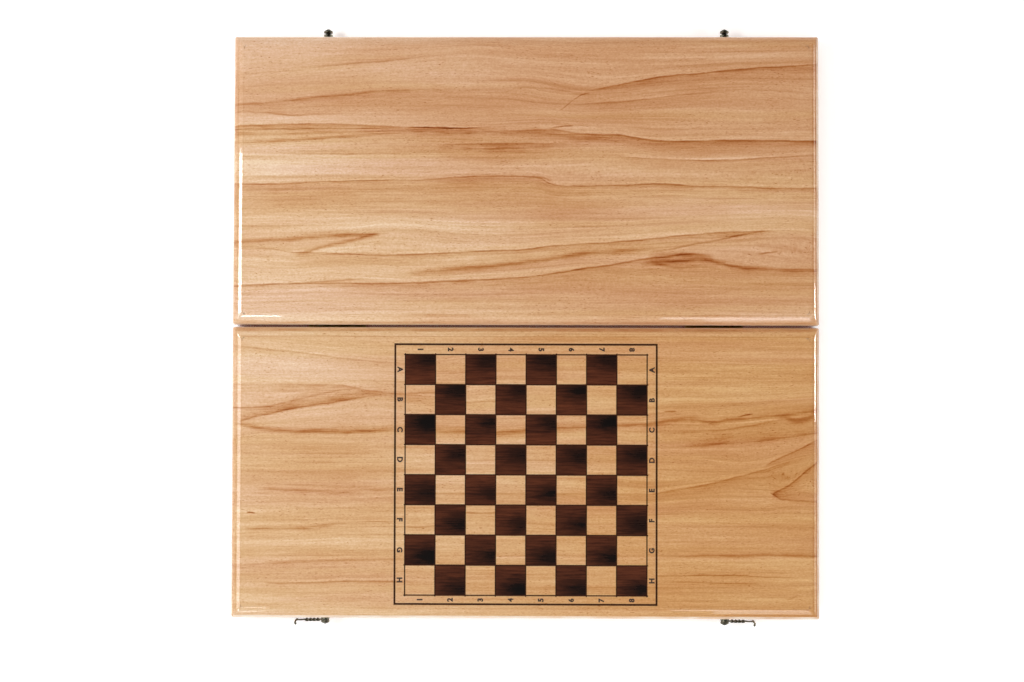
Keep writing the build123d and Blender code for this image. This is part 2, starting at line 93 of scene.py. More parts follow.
# The main grain lines of each panel: which side of the line is shaded (1 is away from
# +Y), width of the line, width of the shaded band, strength of line, band and of the
# pale lip on the other side, then x, s and strength along the line.
PLAIN_LINES = [
    (-1, 0.8, 7, 0.35, 0.15, 0, [(-292, 256.8, 0.25), (-237, 261.8, 0.4), (-190, 267.8, 0.7), (-147, 270.7, 1), (-124, 273.4, 0.5), (-103, 275.7, 0.25), (-57, 279.6, 0)]),
    (1, 1.3, 6, 0.3, 0.22, 0, [(-300, 226.6, 0.6), (-254, 229.8, 0.9), (-217, 234.2, 0.9), (-185, 236.6, 1), (-146, 240.6, 0.8), (-88, 241.8, 0.5), (-29, 243.2, 0.5), (4, 244.6, 0.5), (33, 242.1, 0.5), (58, 238.0, 0.3), (76, 236.5, 0)]),
    (-1, 0.9, 3, 0.3, 0.2, 0.2, [(-300, 218.7, 0.4), (-266, 218.1, 0.6), (-245, 215.5, 0.8), (-211, 216.5, 0.5), (-185, 217.1, 0)]),
    (1, 0.8, 8, 0.45, 0.5, 0.15, [(-300, 204.3, 0.9), (-193, 206.3, 0.6), (-149, 204.4, 0.5), (-119, 202.8, 0.8), (-99, 203.2, 1), (-67, 201.9, 0.9), (-52, 202.4, 0.5), (-26, 204.0, 0.15), (4, 204.3, 0.1), (20, 204.0, 0)]),
    (1, 0.5, 0.1, 1.7, 0, 0, [(-123, 202.6, 0), (-113, 202.8, 0.8), (-103, 203.2, 1), (-92, 202.4, 0.5), (-83, 201.8, 0.9), (-71, 201.9, 1), (-57, 202.2, 0.5), (-45, 202.6, 0)]),
    (1, 1.2, 8, 0.2, 0.45, 0, [(-92, 184.4, 0), (-78, 185.7, 0.5), (-47, 186.4, 0.8), (-9, 186.6, 1), (15, 186.8, 0.7), (45, 188.2, 0.2), (76, 189.2, 0)]),
    (1, 2.8, 1, 0.4, 0, 0, [(-49, 196.3, 0), (-6, 196.8, 0.8), (25, 195.8, 1), (55, 194.1, 1), (86, 192.3, 0.7), (117, 189.3, 0)]),
    (-1, 1, 3, 0.25, 0.1, 0.3, [(-297, 178.0, 0.3), (-178, 175.2, 0.6), (-159, 175.6, 0.5), (-107, 177.3, 0.4), (-26, 177.3, 0.4), (15, 177.9, 0.2), (35, 178.9, 0)]),
    (1, 0.75, 16, 0.5, 0.25, 0.15, [(-300, 145.2, 0.6), (-254, 145.1, 0.8), (-197, 147.3, 0.6), (-146, 148.7, 0.7), (-107, 149.2, 0.9), (-75, 151.4, 1), (-52, 152.7, 0.8), (4, 152.2, 0.7), (16, 150.6, 1), (21, 147.1, 1), (31, 143.7, 0.9), (53, 143.0, 0.8), (92, 143.8, 0.6), (146, 145.2, 0.8), (170, 143.2, 0.6), (209, 142.3, 0.7), (248, 140.9, 0.8), (300, 141.5, 0.7)]),
    (1, 1.2, 0.1, 0.5, 0, 0, [(2, 152.2, 0), (11, 152.4, 0.8), (16, 151.6, 1), (21, 149.7, 1), (25, 148.1, 0.6), (29, 147.5, 0)]),
    (1, 0.9, 6, 0.6, 0.42, 0.2, [(23, 202.7, 0), (31, 201.0, 0.5), (52, 197.1, 0.8), (76, 195.6, 0.8), (99, 194.6, 1), (119, 191.6, 1), (135, 189.3, 1), (158, 188.8, 1), (189, 189.7, 0.9), (248, 189.8, 0.9), (300, 189.1, 0.9)]),
    (1, 0.8, 7, 0.6, 0.34, 0.1, [(58, 239.7, 0), (68, 241.3, 0.5), (92, 246.2, 0.8), (119, 251.8, 0.9), (150, 256.5, 1), (174, 258.5, 1), (209, 262.0, 0.9), (248, 265.0, 0.9), (300, 268.1, 0.9)]),
    (1, 0.7, 5, 0.3, 0.2, 0, [(50, 226.2, 0), (68, 227.5, 0.5), (99, 229.6, 0.8), (119, 232.1, 0.5), (156, 236.5, 0.7), (189, 239.6, 0.3), (219, 241.7, 0)]),
    (1, 0.7, 0.1, 0.6, 0, 0, [(34, 220.0, 0), (39, 223.6, 0.6), (50, 232.3, 0.7), (58, 237.0, 0.9), (65, 238.5, 0)]),
    (1, 0.6, 0.1, 1.1, 0, 0, [(27, 203.3, 0), (33, 203.8, 1), (41, 204.3, 1), (49, 204.3, 0)]),
    (1, 0.7, 2.5, 0.35, 0.15, 0.3, [(96, 172.8, 0), (119, 171.6, 0.7), (157, 170.0, 0.6), (199, 169.4, 0.9), (248, 172.2, 0.7), (300, 175.1, 0.6)]),
    (1, 1.8, 4, 0.50, 0.2, 0, [(-300, 86.1, 0.7), (-243, 88.4, 0.8), (-208, 91.4, 0.9), (-177, 93.0, 1), (-161, 93.0, 0.9), (-151, 93.6, 0.3), (-138, 94.6, 0)]),
    (-1, 1.7, 3, 0.55, 0.2, 0, [(-235, 72.1, 0), (-227, 74.0, 0.5), (-220, 75.7, 0.9), (-210, 79.1, 0.7), (-196, 82.5, 0.6), (-177, 86.6, 0.7), (-161, 91.5, 0.7), (-149, 94.0, 0)]),
    (1, 0.75, 6, 0.5, 0.25, 0.2, [(-296, 77.5, 0.2), (-255, 77.6, 0.3), (-236, 74.7, 0.6), (-220, 74.2, 0.8), (-204, 73.7, 0.8), (-165, 72.5, 0.8), (-130, 72.3, 0.8), (-87, 73.6, 0.8), (-48, 76.1, 0.9), (-6, 77.7, 0.9), (33, 82.0, 0.9), (72, 84.4, 0.9), (119, 88.0, 0.9), (166, 93.1, 0.9), (199, 95.4, 1), (224, 96.5, 1), (244, 97.0, 0.4), (257, 97.3, 0)]),
    (-1, 0.9, 2, 0.5, 0.1, 0, [(125, 74.8, 0), (131, 76.1, 0.4), (143, 77.5, 0.7), (170, 83.2, 0.7), (197, 88.1, 0.8), (224, 94.1, 1), (244, 97.0, 0.4), (251, 97.3, 0)]),
    (1, 2.2, 4, 0.5, 0.2, 0, [(-125, 53.7, 0), (-97, 55.8, 0.5), (-77, 57.4, 0.6), (-28, 62.0, 0.8), (5, 66.3, 1), (20, 67.9, 1), (53, 73.3, 0.9), (88, 76.3, 0.8), (117, 78.2, 0.3), (144, 79.8, 0)]),
    (1, 0.9, 8, 0.6, 0.2, 0.1, [(-300, 40.1, 0.8), (-257, 41.8, 0.8), (-216, 43.1, 0.6), (-177, 42.9, 0.9), (-145, 42.5, 0.9), (-114, 43.6, 0.9), (-71, 45.7, 0.9), (-40, 47.0, 0.9), (5, 50.3, 0.9), (26, 52.7, 0.9), (61, 59.0, 1), (88, 62.2, 1), (115, 67.5, 1), (143, 70.9, 1), (166, 73.5, 1), (176, 73.2, 0.6), (186, 71.7, 0)]),
    (1, 1, 0.1, 0.4, 0, 0, [(-251, 41.7, 0), (-227, 43.0, 0.5), (-200, 45.4, 0.6), (-184, 46.4, 0.8), (-174, 47.0, 0.4), (-157, 47.5, 0)]),
    (1, 1.6, 6, 0.65, 0.3, 0, [(117, 63.4, 0), (132, 65.5, 0.6), (156, 66.6, 1), (182, 67.6, 1), (197, 64.8, 1), (213, 60.8, 1), (238, 58.9, 0.8), (259, 58.0, 0.8), (300, 57.1, 0.8)]),
    (1, 3.0, 0.1, 0.4, 0, 0, [(123, 70.0, 0), (137, 71.6, 0.7), (157, 72.3, 1), (178, 71.7, 1), (192, 69.6, 0)]),
    (1, 1.8, 0.1, 0.45, 0, 0, [(127, 65.4, 0), (142, 61.9, 1), (157, 59.9, 0.8), (178, 60.4, 0.4), (200, 57.4, 0)]),
    (1, 1.3, 0.1, 0.34, 0, 0, [(-292, 196.2, 0.6), (-230, 196.8, 0.9), (-180, 198.4, 0.8), (-128, 200.4, 0.5), (-60, 201.0, 0)]),
    (1, 1.4, 3, 0.32, 0.1, 0, [(-292, 187.6, 0.5), (-240, 190.0, 0.9), (-190, 193.2, 0.9), (-140, 197.0, 0.6), (-100, 199.0, 0)]),
    (1, 0.6, 0.1, 0.55, 0, 0, [(-290, 200.8, 0.8), (-200, 201.6, 0.9), (-150, 202.0, 0.5), (-120, 202.4, 0)]),
    (1, 1.2, 0.1, 0.45, 0, 0, [(-100, 198.0, 0), (-60, 197.4, 0.7), (-20, 198.6, 0.9), (14, 200.0, 0.8), (40, 199.6, 0)]),
    (1, 1.0, 0.1, 0.45, 0, 0, [(-70, 180.6, 0), (-40, 181.2, 0.8), (0, 182.0, 0.8), (30, 183.4, 0)]),
    (1, 0.7, 0.1, 0.8, 0, 0, [(238, 74.0, 0), (244, 74.8, 1), (250, 75.6, 1), (257, 75.9, 0)]),
]
CHESS_LINES = [
    (1, 0.9, 5, 0.25, 0.1, 0.25, [(-295, 20.9, 0.3), (-241, 26.1, 0.7), (-186, 33.2, 0.7), (-150, 36.3, 0.6), (-132, 37.8, 0.4), (-107, 39.8, 0)]),
    (1, 1, 9, 0.2, 0.5, 0.1, [(-299, 59.5, 0.3), (-225, 59.9, 0.5), (-186, 60.4, 0.5), (-160, 65.6, 0.4), (-135, 68.8, 0.4), (-91, 71.3, 0.2), (-77, 71.7, 0)]),
    (1, 0.9, 4, 0.45, 0.15, 0, [(-299, 83.8, 0.9), (-269, 82.8, 1), (-248, 79.5, 0.7), (-233, 75.5, 0.5), (-209, 69.6, 0.3), (-186, 65.0, 0.2), (-168, 63.3, 0)]),
    (-1, 1.1, 7, 0.5, 0.6, 0, [(-292, 98.8, 0), (-286, 96.5, 0.6), (-270, 92.0, 0.8), (-242, 86.0, 1), (-222, 82.0, 0.9), (-199, 78.7, 0.9), (-173, 74.1, 0.55), (-140, 70.1, 0.4), (-117, 68.8, 0.35), (-87, 68.2, 0.35), (-56, 69.1, 0)]),
    (-1, 1.9, 5, 0.5, 0.3, 0, [(-294, 100.2, 0.3), (-286, 102.2, 0.9), (-272, 104.9, 1), (-253, 106.6, 1), (-235, 108.0, 1), (-212, 108.0, 0.9), (-186, 108.5, 1), (-160, 107.8, 0.8), (-135, 105.8, 0.6), (-87, 106.9, 0.7), (-26, 108.5, 0.8), (36, 104.0, 0.8), (76, 102.6, 0.6), (117, 100.2, 0.7), (134, 98.1, 0.8), (148, 95.7, 0.8), (163, 94.5, 0.8), (174, 95.1, 1), (186, 97.3, 1), (194, 97.5, 0.9), (207, 95.5, 0.7), (225, 94.4, 0.7), (241, 92.0, 0.7), (259, 90.2, 0.9), (276, 88.3, 0.9), (300, 85.4, 0.8)]),
    (1, 0.9, 5, 0.3, 0.2, 0, [(117, 101.2, 0), (134, 100.4, 0.7), (159, 99.7, 0.7), (178, 100.5, 0.3), (190, 101.0, 0)]),
    (1, 3.0, 0.1, 0.5, 0, 0, [(254, 90.6, 0), (264, 92.2, 0.7), (275, 95.2, 1), (285, 94.1, 1), (294, 90.5, 0.5), (300, 89.5, 0.3)]),
    (1, 0.55, 0.1, 1.5, 0, 0, [(217, 91.6, 0), (221, 90.7, 0.7), (225, 89.8, 1), (229, 89.2, 0.5), (232, 88.8, 0)]),
    (1, 0.7, 0.1, 0.6, 0, 0, [(141, 86.7, 0), (145, 86.4, 1), (150, 86.3, 1), (154, 86.2, 0)]),
    (1, 1.2, 5, 0.3, 0.2, 0, [(137, 109.3, 0), (148, 108.6, 0.4), (190, 106.0, 0.6), (226, 101.4, 0.7), (247, 96.6, 0.5), (264, 94.1, 0)]),
    (-1, 1.6, 7, 0.25, 0.4, 0, [(149, 122.9, 0), (178, 121.3, 0.6), (207, 118.9, 1), (241, 116.4, 1), (265, 112.8, 0.8), (300, 107.7, 0.5)]),
    (1, 0.9, 5, 0.45, 0.25, 0.1, [(244, 141.4, 0), (251, 137.3, 0.6), (271, 128.0, 0.9), (293, 117.4, 0.8), (300, 113.8, 0.6)]),
    (1, 0.9, 5, 0.6, 0.35, 0, [(251, 169.8, 0), (255, 167.5, 1), (265, 162.5, 1), (275, 155.5, 1), (283, 148.5, 1), (291, 142.3, 0.7), (300, 135.1, 0.6)]),
    (-1, 0.9, 5, 0.5, 0.3, 0, [(250, 169.2, 0), (254, 171.4, 1), (259, 174.8, 1), (265, 175.9, 0.9), (291, 177.5, 0.8), (300, 177.9, 0.7)]),
    (1, 1, 7, 0.35, 0.25, 0.25, [(127, 170.2, 0.3), (142, 167.6, 0.6), (172, 162.8, 0.8), (195, 158.1, 0.8), (213, 153.4, 0.8), (230, 148.6, 0.7), (247, 143.9, 0.5), (264, 138.3, 0.3), (279, 134.2, 0)]),
    (-1, 1.6, 4, 0.3, 0.3, 0.15, [(127, 234.0, 0.3), (153, 233.9, 0.5), (190, 233.2, 1), (213, 233.3, 1), (239, 232.4, 0.6), (264, 232.5, 0.9), (290, 233.4, 1), (300, 233.4, 1)]),
    (1, 0.65, 3, 0.5, 0.1, 0.1, [(133, 252.9, 0), (143, 253.1, 0.6), (166, 253.0, 0.8), (195, 252.3, 1), (224, 252.8, 0.8), (253, 253.8, 0.6), (279, 254.7, 0)]),
    (1, 0.7, 2, 0.35, 0.1, 0, [(147, 259.3, 0), (162, 259.4, 0.8), (188, 260.1, 0.6), (218, 260.4, 0.6), (239, 260.5, 0)]),
    (1, 1.6, 4, 0.2, 0.15, 0, [(-272, 166.0, 0), (-264, 166.0, 0.5), (-235, 167.0, 1), (-185, 167.7, 0.7), (-160, 166.3, 0.9), (-135, 165.6, 0.9), (-107, 165.3, 0)]),
    (1, 0.6, 0.1, 1.1, 0, 0, [(-283, 190.5, 0), (-281, 190.2, 1), (-278, 190.3, 1), (-276, 190.5, 0)]),
    (1, 2.2, 5, 0.22, 0.22, 0, [(-292, 207.7, 0.4), (-283, 207.0, 0.7), (-264, 206.1, 1), (-239, 205.4, 0.8), (-219, 204.7, 1), (-198, 201.5, 0.8), (-135, 198.5, 0.5), (-96, 198.4, 0)]),
    (1, 1.4, 3, 0.25, 0.1, 0.1, [(-290, 243.8, 0.3), (-276, 242.5, 0.6), (-240, 240.5, 0.9), (-198, 238.4, 0.8), (-135, 236.8, 0.5), (-107, 236.0, 0)]),
    (1, 0.9, 2.5, 0.5, 0.15, 0.1, [(-267, 261.4, 0), (-253, 261.6, 0.5), (-224, 261.8, 1), (-201, 261.0, 1), (-172, 259.6, 0.7), (-134, 260.1, 0.5), (-96, 260.3, 0)]),
    (1, 0.8, 0.1, 0.2, 0, 0, [(265, 278.0, 0), (269, 276.6, 1), (274, 274.1, 1), (277, 272.5, 0)]),
    (1, 1, 3, 0.3, 0.15, 0, [(-122, 203.5, 0), (-107, 204.5, 0.6), (-89, 202.4, 0.5), (-56, 194.2, 0)]),
    (1, 0.8, 1.5, 0.5, 0.1, 0, [(-64, 189.6, 0), (-56, 189.9, 0.8), (-46, 190.1, 0.7), (-33, 189.7, 0.8), (-25, 189.3, 0)]),
]


def place(side, x, s, h):
    """A point of a half as a point of the scene, in metres."""
    return Vector(
        (
            x,
            side * (s * math.cos(TILT) + h * math.sin(TILT)),
            KNUCKLE_R - s * math.sin(TILT) + h * math.cos(TILT),
        )
    ) / 1000.0


def to_scene(side, local):
    """The same for an array of points."""
    x, s, h = local.T
    return np.stack(
        [
            x,
            side * (s * math.cos(TILT) + h * math.sin(TILT)),
            KNUCKLE_R - s * math.sin(TILT) + h * math.cos(TILT),
        ],
        1,
    ) / 1000.0


def rgb(r, g, b):
    """An sRGB colour, 0 to 255, as linear light."""
    def linear(v):
        v /= 255.0
        return v / 12.92 if v <= 0.04045 else ((v + 0.055) / 1.055) ** 2.4

    return (linear(r), linear(g), linear(b), 1.0)


# ------------------------------------------------------------------ node helpers
class Shader:
    """A material's node tree, built from expressions."""

    def __init__(self, name):
        self.material = bpy.data.materials.new(name)
        self.material.use_nodes = True
        self.nodes = self.material.node_tree.nodes
        self.links = self.material.node_tree.links
        self.nodes.clear()
        self.output = self.nodes.new("ShaderNodeOutputMaterial")

    def put(self, socket, value):
        if isinstance(value, bpy.types.NodeSocket):
            self.links.new(value, socket)
        else:
            socket.default_value = value

    def math(self, op, a, b=0.0, c=0.0, clamp=False):
        node = self.nodes.new("ShaderNodeMath")
        node.operation = op
        node.use_clamp = clamp
        for socket, value in zip(node.inputs, (a, b, c)):
            self.put(socket, value)
        return node.outputs[0]

    def add(self, a, b):
        return self.math("ADD", a, b)

    def sub(self, a, b):
        return self.math("SUBTRACT", a, b)

    def mul(self, a, b):
        return self.math("MULTIPLY", a, b)

    def total(self, *values):
        result = values[0]
        for value in values[1:]:
            result = self.add(result, value)
        return result

    def exp(self, a):
        return self.math("EXPONENT", a)

    def absolute(self, a):
        return self.math("ABSOLUTE", a)

    def clamp(self, a):
        return self.math("ADD", a, 0.0, clamp=True)

    def smooth(self, value, low, high, to_low=0.0, to_high=1.0):
        node = self.nodes.new("ShaderNodeMapRange")
        node.interpolation_type = "SMOOTHSTEP"
        self.put(node.inputs["Value"], value)
        for key, number in zip(
            ("From Min", "From Max", "To Min", "To Max"), (low, high, to_low, to_high)
        ):
            self.put(node.inputs[key], number)
        return node.outputs["Result"]

    def vector(self, x, y, z):
        node = self.nodes.new("ShaderNodeCombineXYZ")
        for socket, value in zip(node.inputs, (x, y, z)):
            self.put(socket, value)
        return node.outputs[0]

    def split(self, vector):
        node = self.nodes.new("ShaderNodeSeparateXYZ")
        self.put(node.inputs[0], vector)
        return tuple(node.outputs)

    def attribute(self, name):
        node = self.nodes.new("ShaderNodeAttribute")
        node.attribute_name = name
        return node.outputs["Vector"]

    def coordinates(self, output="Object"):
        return self.nodes.new("ShaderNodeTexCoord").outputs[output]

    def noise(self, vector, detail=2.0, roughness=0.5, distortion=0.0, scale=1.0):
        node = self.nodes.new("ShaderNodeTexNoise")
        self.put(node.inputs["Vector"], vector)
        for key, number in (
            ("Scale", scale), ("Detail", detail), ("Roughness", roughness),
            ("Distortion", distortion),
        ):
            self.put(node.inputs[key], number)
        return node.outputs[0]

    def cell_random(self, x, y):
        node = self.nodes.new("ShaderNodeTexWhiteNoise")
        node.noise_dimensions = "3D"
        self.put(node.inputs["Vector"], self.vector(x, y, 3.7))
        return self.split(node.outputs["Color"])

    def mix(self, factor, a, b, blend="MIX"):
        node = self.nodes.new("ShaderNodeMix")
        node.data_type = "RGBA"
        node.blend_type = blend
        node.clamp_factor = True
        self.put(node.inputs[0], factor)
        self.put(node.inputs[6], a)
        self.put(node.inputs[7], b)
        return node.outputs[2]

    def ramp(self, value, stops):
        node = self.nodes.new("ShaderNodeValToRGB")
        self.put(node.inputs[0], value)
        ramp = node.color_ramp
        ramp.interpolation = "EASE"
        while len(ramp.elements) < len(stops):
            ramp.elements.new(0.5)
        for element, (position, colour) in zip(ramp.elements, stops):
            element.position = position
            element.color = colour
        return node.outputs[0]

    def curves(self, value, *channels):
        """Up to three smooth functions of a value from 0 to 1."""
        node = self.nodes.new("ShaderNodeRGBCurve")
        mapping = node.mapping
        mapping.extend = "HORIZONTAL"
        for curve, points in zip(mapping.curves, channels):
            curve.points[0].location = points[0]
            curve.points[1].location = points[-1]
            for position in points[1:-1]:
                curve.points.new(*position)
            for point in curve.points:
                point.handle_type = "AUTO_CLAMPED" if curve != mapping.curves[0] else "AUTO"
        mapping.update()
        self.put(node.inputs["Color"], value)
        parts = self.nodes.new("ShaderNodeSeparateColor")
        self.put(parts.inputs[0], node.outputs["Color"])
        return tuple(parts.outputs)[: len(channels)]

    def absorb(self, colour, amount, strength):
        """Colour darkened by a stain: each channel falls off at its own rate."""
        parts = self.nodes.new("ShaderNodeSeparateColor")
        self.put(parts.inputs[0], colour)
        joined = self.nodes.new("ShaderNodeCombineColor")
        for k in range(3):
            faded = self.exp(self.mul(amount, -strength[k]))
            self.put(joined.inputs[k], self.mul(parts.outputs[k], faded))
        return joined.outputs[0]

    def bump(self, height, distance, strength=1.0):
        node = self.nodes.new("ShaderNodeBump")
        self.put(node.inputs["Height"], height)
        self.put(node.inputs["Strength"], strength)
        self.put(node.inputs["Distance"], distance)
        return node.outputs["Normal"]

    def surface(self, colour, roughness, normal=None, coat_normal=None, **constants):
        node = self.nodes.new("ShaderNodeBsdfPrincipled")
        self.put(node.inputs["Base Color"], colour)
        self.put(node.inputs["Roughness"], roughness)
        if normal is not None:
            self.put(node.inputs["Normal"], normal)
        if coat_normal is not None:
            self.put(node.inputs["Coat Normal"], coat_normal)
        for key, number in constants.items():
            node.inputs[key.replace("_", " ")].default_value = number
        self.links.new(node.outputs[0], self.output.inputs["Surface"])
        return self.material


def dress(node, material):
    """Gives a model node its finish."""
    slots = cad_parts[node].data.materials
    if len(slots):
        for k in range(len(slots)):
            slots[k] = material
    else:
        slots.append(material)


# ------------------------------------------------------------------ wood
def beech(sh, x, g, h, seed=0.0, contrast=1.0):
    """Steamed beech. x runs along the fibres and g and h across them, all in mm, and
    contrast is that of the streaks. Returns the stain, where 0 is the middle tone, the flecks and the fibre relief."""
    broad = sh.noise(sh.vector(sh.mul(x, 1 / 420), sh.add(sh.mul(g, 1 / 36), seed), sh.mul(h, 1 / 60)), 2.0)
    medium = sh.noise(sh.vector(sh.mul(x, 1 / 160), sh.add(sh.mul(g, 1 / 8), seed), sh.mul(h, 1 / 14)), 3.0)
    fine = sh.noise(sh.vector(sh.mul(x, 1 / 60), sh.add(sh.mul(g, 1 / 1.9), seed), sh.mul(h, 1 / 2.6)), 3.0, 0.6)
    fibre = sh.noise(sh.vector(sh.mul(x, 1 / 13), sh.add(sh.mul(g, 1 / 0.62), seed), sh.mul(h, 1 / 0.8)), 2.0, 0.6)
    mottle = sh.noise(sh.vector(sh.mul(x, 1 / 2.4), sh.add(sh.mul(g, 1 / 1.5), seed), sh.mul(h, 1 / 1.5)), 2.0, 0.6)
    streak = sh.noise(sh.vector(sh.mul(x, 1 / 170), sh.add(sh.mul(g, 1 / 3.1), seed + 2.7), sh.mul(h, 1 / 5)), 2.0, 0.55)
    stain = sh.total(
        sh.mul(sh.sub(broad, 0.5), 0.58),
        sh.mul(sh.sub(fine, 0.5), 0.42),
        sh.mul(sh.sub(fibre, 0.5), 0.4),
        sh.mul(sh.sub(mottle, 0.5), 0.55),
        sh.mul(
            sh.total(
                sh.mul(sh.sub(medium, 0.5), 0.55),
                sh.smooth(streak, 0.54, 0.72, 0.0, 0.20),
                sh.smooth(streak, 0.46, 0.30, 0.0, -0.13),
            ),
            contrast,
        ),
        -0.02,
    )
    dash = sh.noise(sh.vector(sh.mul(x, 1 / 3.9), sh.add(sh.mul(g, 1 / 0.72), seed + 9.3), sh.mul(h, 1 / 0.9)), 1.0)
    patch = sh.noise(sh.vector(sh.mul(x, 1 / 60), sh.add(sh.mul(g, 1 / 22), seed + 4.1), sh.mul(h, 1 / 30)), 1.0)
    fleck = sh.mul(sh.smooth(dash, 0.63, 0.78), sh.smooth(patch, 0.3, 0.65, 0.25, 1.0))
    relief = sh.add(sh.mul(fibre, 0.6), sh.mul(fine, 0.4))
    return stain, fleck, relief


def end_grain(sh, across, up, seed=0.0):
    """The cut ends of the fibres: growth rings with pores, darker than the faces."""
    ring = sh.noise(sh.vector(sh.mul(across, 1 / 30), sh.mul(up, 1 / 2.3), seed), 3.0, 0.6, 0.4)
    pores = sh.noise(sh.vector(sh.mul(across, 1 / 0.5), sh.mul(up, 1 / 0.5), seed), 2.0, 0.7)
    rays = sh.noise(sh.vector(sh.mul(across, 1 / 0.9), sh.mul(up, 1 / 7), seed + 2.2), 2.0, 0.6)
    return sh.total(
        0.42,
        sh.mul(sh.sub(ring, 0.5), 0.9),
        sh.mul(sh.sub(pores, 0.5), 0.8),
        sh.mul(sh.sub(rays, 0.5), 0.5),
    )


def grain_lines(sh, x, s, lines, side):
    """The listed lines as a stain: a thin core, a band shaded off to one side and
    a pale lip on the other."""
    t = sh.mul(sh.add(x, LENGTH / 2), 1 / LENGTH)
    wander = sh.total(
        sh.mul(sh.sub(sh.noise(sh.vector(sh.mul(x, 1 / 22), sh.mul(s, 1 / 30), 1.5), 2.0), 0.5), 2.2),
        sh.mul(sh.sub(sh.noise(sh.vector(sh.mul(x, 1 / 5), sh.mul(s, 1 / 3), 7.5), 2.0), 0.5), 0.8),
    )
    vary = sh.smooth(sh.noise(sh.vector(sh.mul(x, 1 / 26), sh.mul(s, 1 / 9), 4.4), 2.0), 0.3, 0.7, 0.62, 1.25)
    streaky = sh.noise(sh.vector(sh.mul(x, 1 / 34), sh.mul(s, 1 / 1.25), 8.8), 2.0, 0.55)
    vary = sh.mul(vary, sh.smooth(streaky, 0.3, 0.7, 0.6, 1.4))
    here = sh.add(s, wander)
    stain = 0.0
    for turn, width, spread, core, band, lip, points in lines:
        where, strength = sh.curves(
            t,
            [((px + 300) / 600, ps / 300) for px, ps, _ in points],
            [((px + 300) / 600, amount) for px, _, amount in points],
        )
        d = sh.math("MULTIPLY_ADD", where, -300.0, here)
        square = sh.math("MULTIPLY", sh.mul(d, 1 / width), sh.mul(d, -1 / width))
        amount = sh.mul(sh.exp(square), core)
        q = sh.mul(d, -turn * side)
        if band:
            fade = sh.exp(sh.mul(sh.math("MAXIMUM", q, 0.0), -1 / spread))
            fade = sh.mul(fade, sh.smooth(q, -0.7, 0.6, 0.0, band))
            amount = sh.add(amount, fade)
        if lip:
            pale = sh.exp(sh.mul(sh.math("MINIMUM", q, 0.0), 1 / 2.6))
            pale = sh.mul(pale, sh.smooth(q, -1.6, -0.2, -lip, 0.0))
            amount = sh.add(amount, pale)
        stain = sh.math("MULTIPLY_ADD", amount, strength, stain)
    return sh.mul(stain, vary)


TONE = rgb(214, 166, 123)
TONE_PALE = rgb(233, 200, 168)
TONE_WARM = rgb(209, 157, 106)
TONE_WARM_PALE = rgb(227, 191, 154)
YELLOW = rgb(255, 253, 243)
ROSE = rgb(255, 250, 250)
STAIN = (0.50, 1.0, 1.6)


def lacquer(sh, colour, roughness, relief, height, seed=0.0):
    """Clear gloss lacquer over the wood, with the slight unevenness of a brushed coat."""
    where = sh.attribute("place") if height else sh.coordinates()
    scale = 1 / 35 if height else 28.0
    soft = sh.noise(where, 2.0, 0.5, 0.0, scale)
    normal = sh.bump(relief, 0.00008, 0.25)
    coat = sh.bump(soft, 0.0004 if height else 0.0003, 0.3)
    return sh.surface(
        colour, roughness, normal, coat,
        Coat_Weight=0.9, Coat_Roughness=0.03, Coat_IOR=1.5, IOR=1.14,
    )


# Broad darker (+) and paler (-) places in the wood of each panel: x, s, half length,
# half width and amount.
PLAIN_PLACES = (
    (-70, 250, 270, 62, 0.21), (215, 115, 130, 40, -0.17), (-190, 35, 150, 32, -0.06),
    (-130, 122, 220, 40, 0.10), (250, 120, 85, 10, -0.15), (-235, 161, 85, 9, -0.14),
    (-130, 103, 140, 8, -0.15), (60, 166, 95, 10, -0.13), (-230, 132, 90, 14, 0.10), (10, 133, 140, 30, 0.12),
)
CHESS_PLACES = (
    (-220, 150, 130, 46, 0.27), (-210, 45, 130, 32, -0.10), (-200, 245, 150, 44, 0.11),
    (215, 150, 130, 42, 0.08), (215, 45, 120, 36, -0.06),
)


def broad_places(sh, x, s, places):
    wavy = sh.mul(sh.sub(sh.noise(sh.vector(sh.mul(x, 1 / 130), sh.mul(s, 1 / 28), 12.0), 2.0), 0.5), 1.3)
    amount = 0.0
    for cx, cs, length, width, power in places:
        du, dv = sh.mul(sh.sub(x, cx), 1 / length), sh.mul(sh.sub(s, cs), 1 / width)
        away = sh.total(sh.mul(du, du), sh.mul(dv, dv), wavy)
        amount = sh.math("MULTIPLY_ADD", sh.exp(sh.mul(away, -1.0)), power, amount)
    return amount


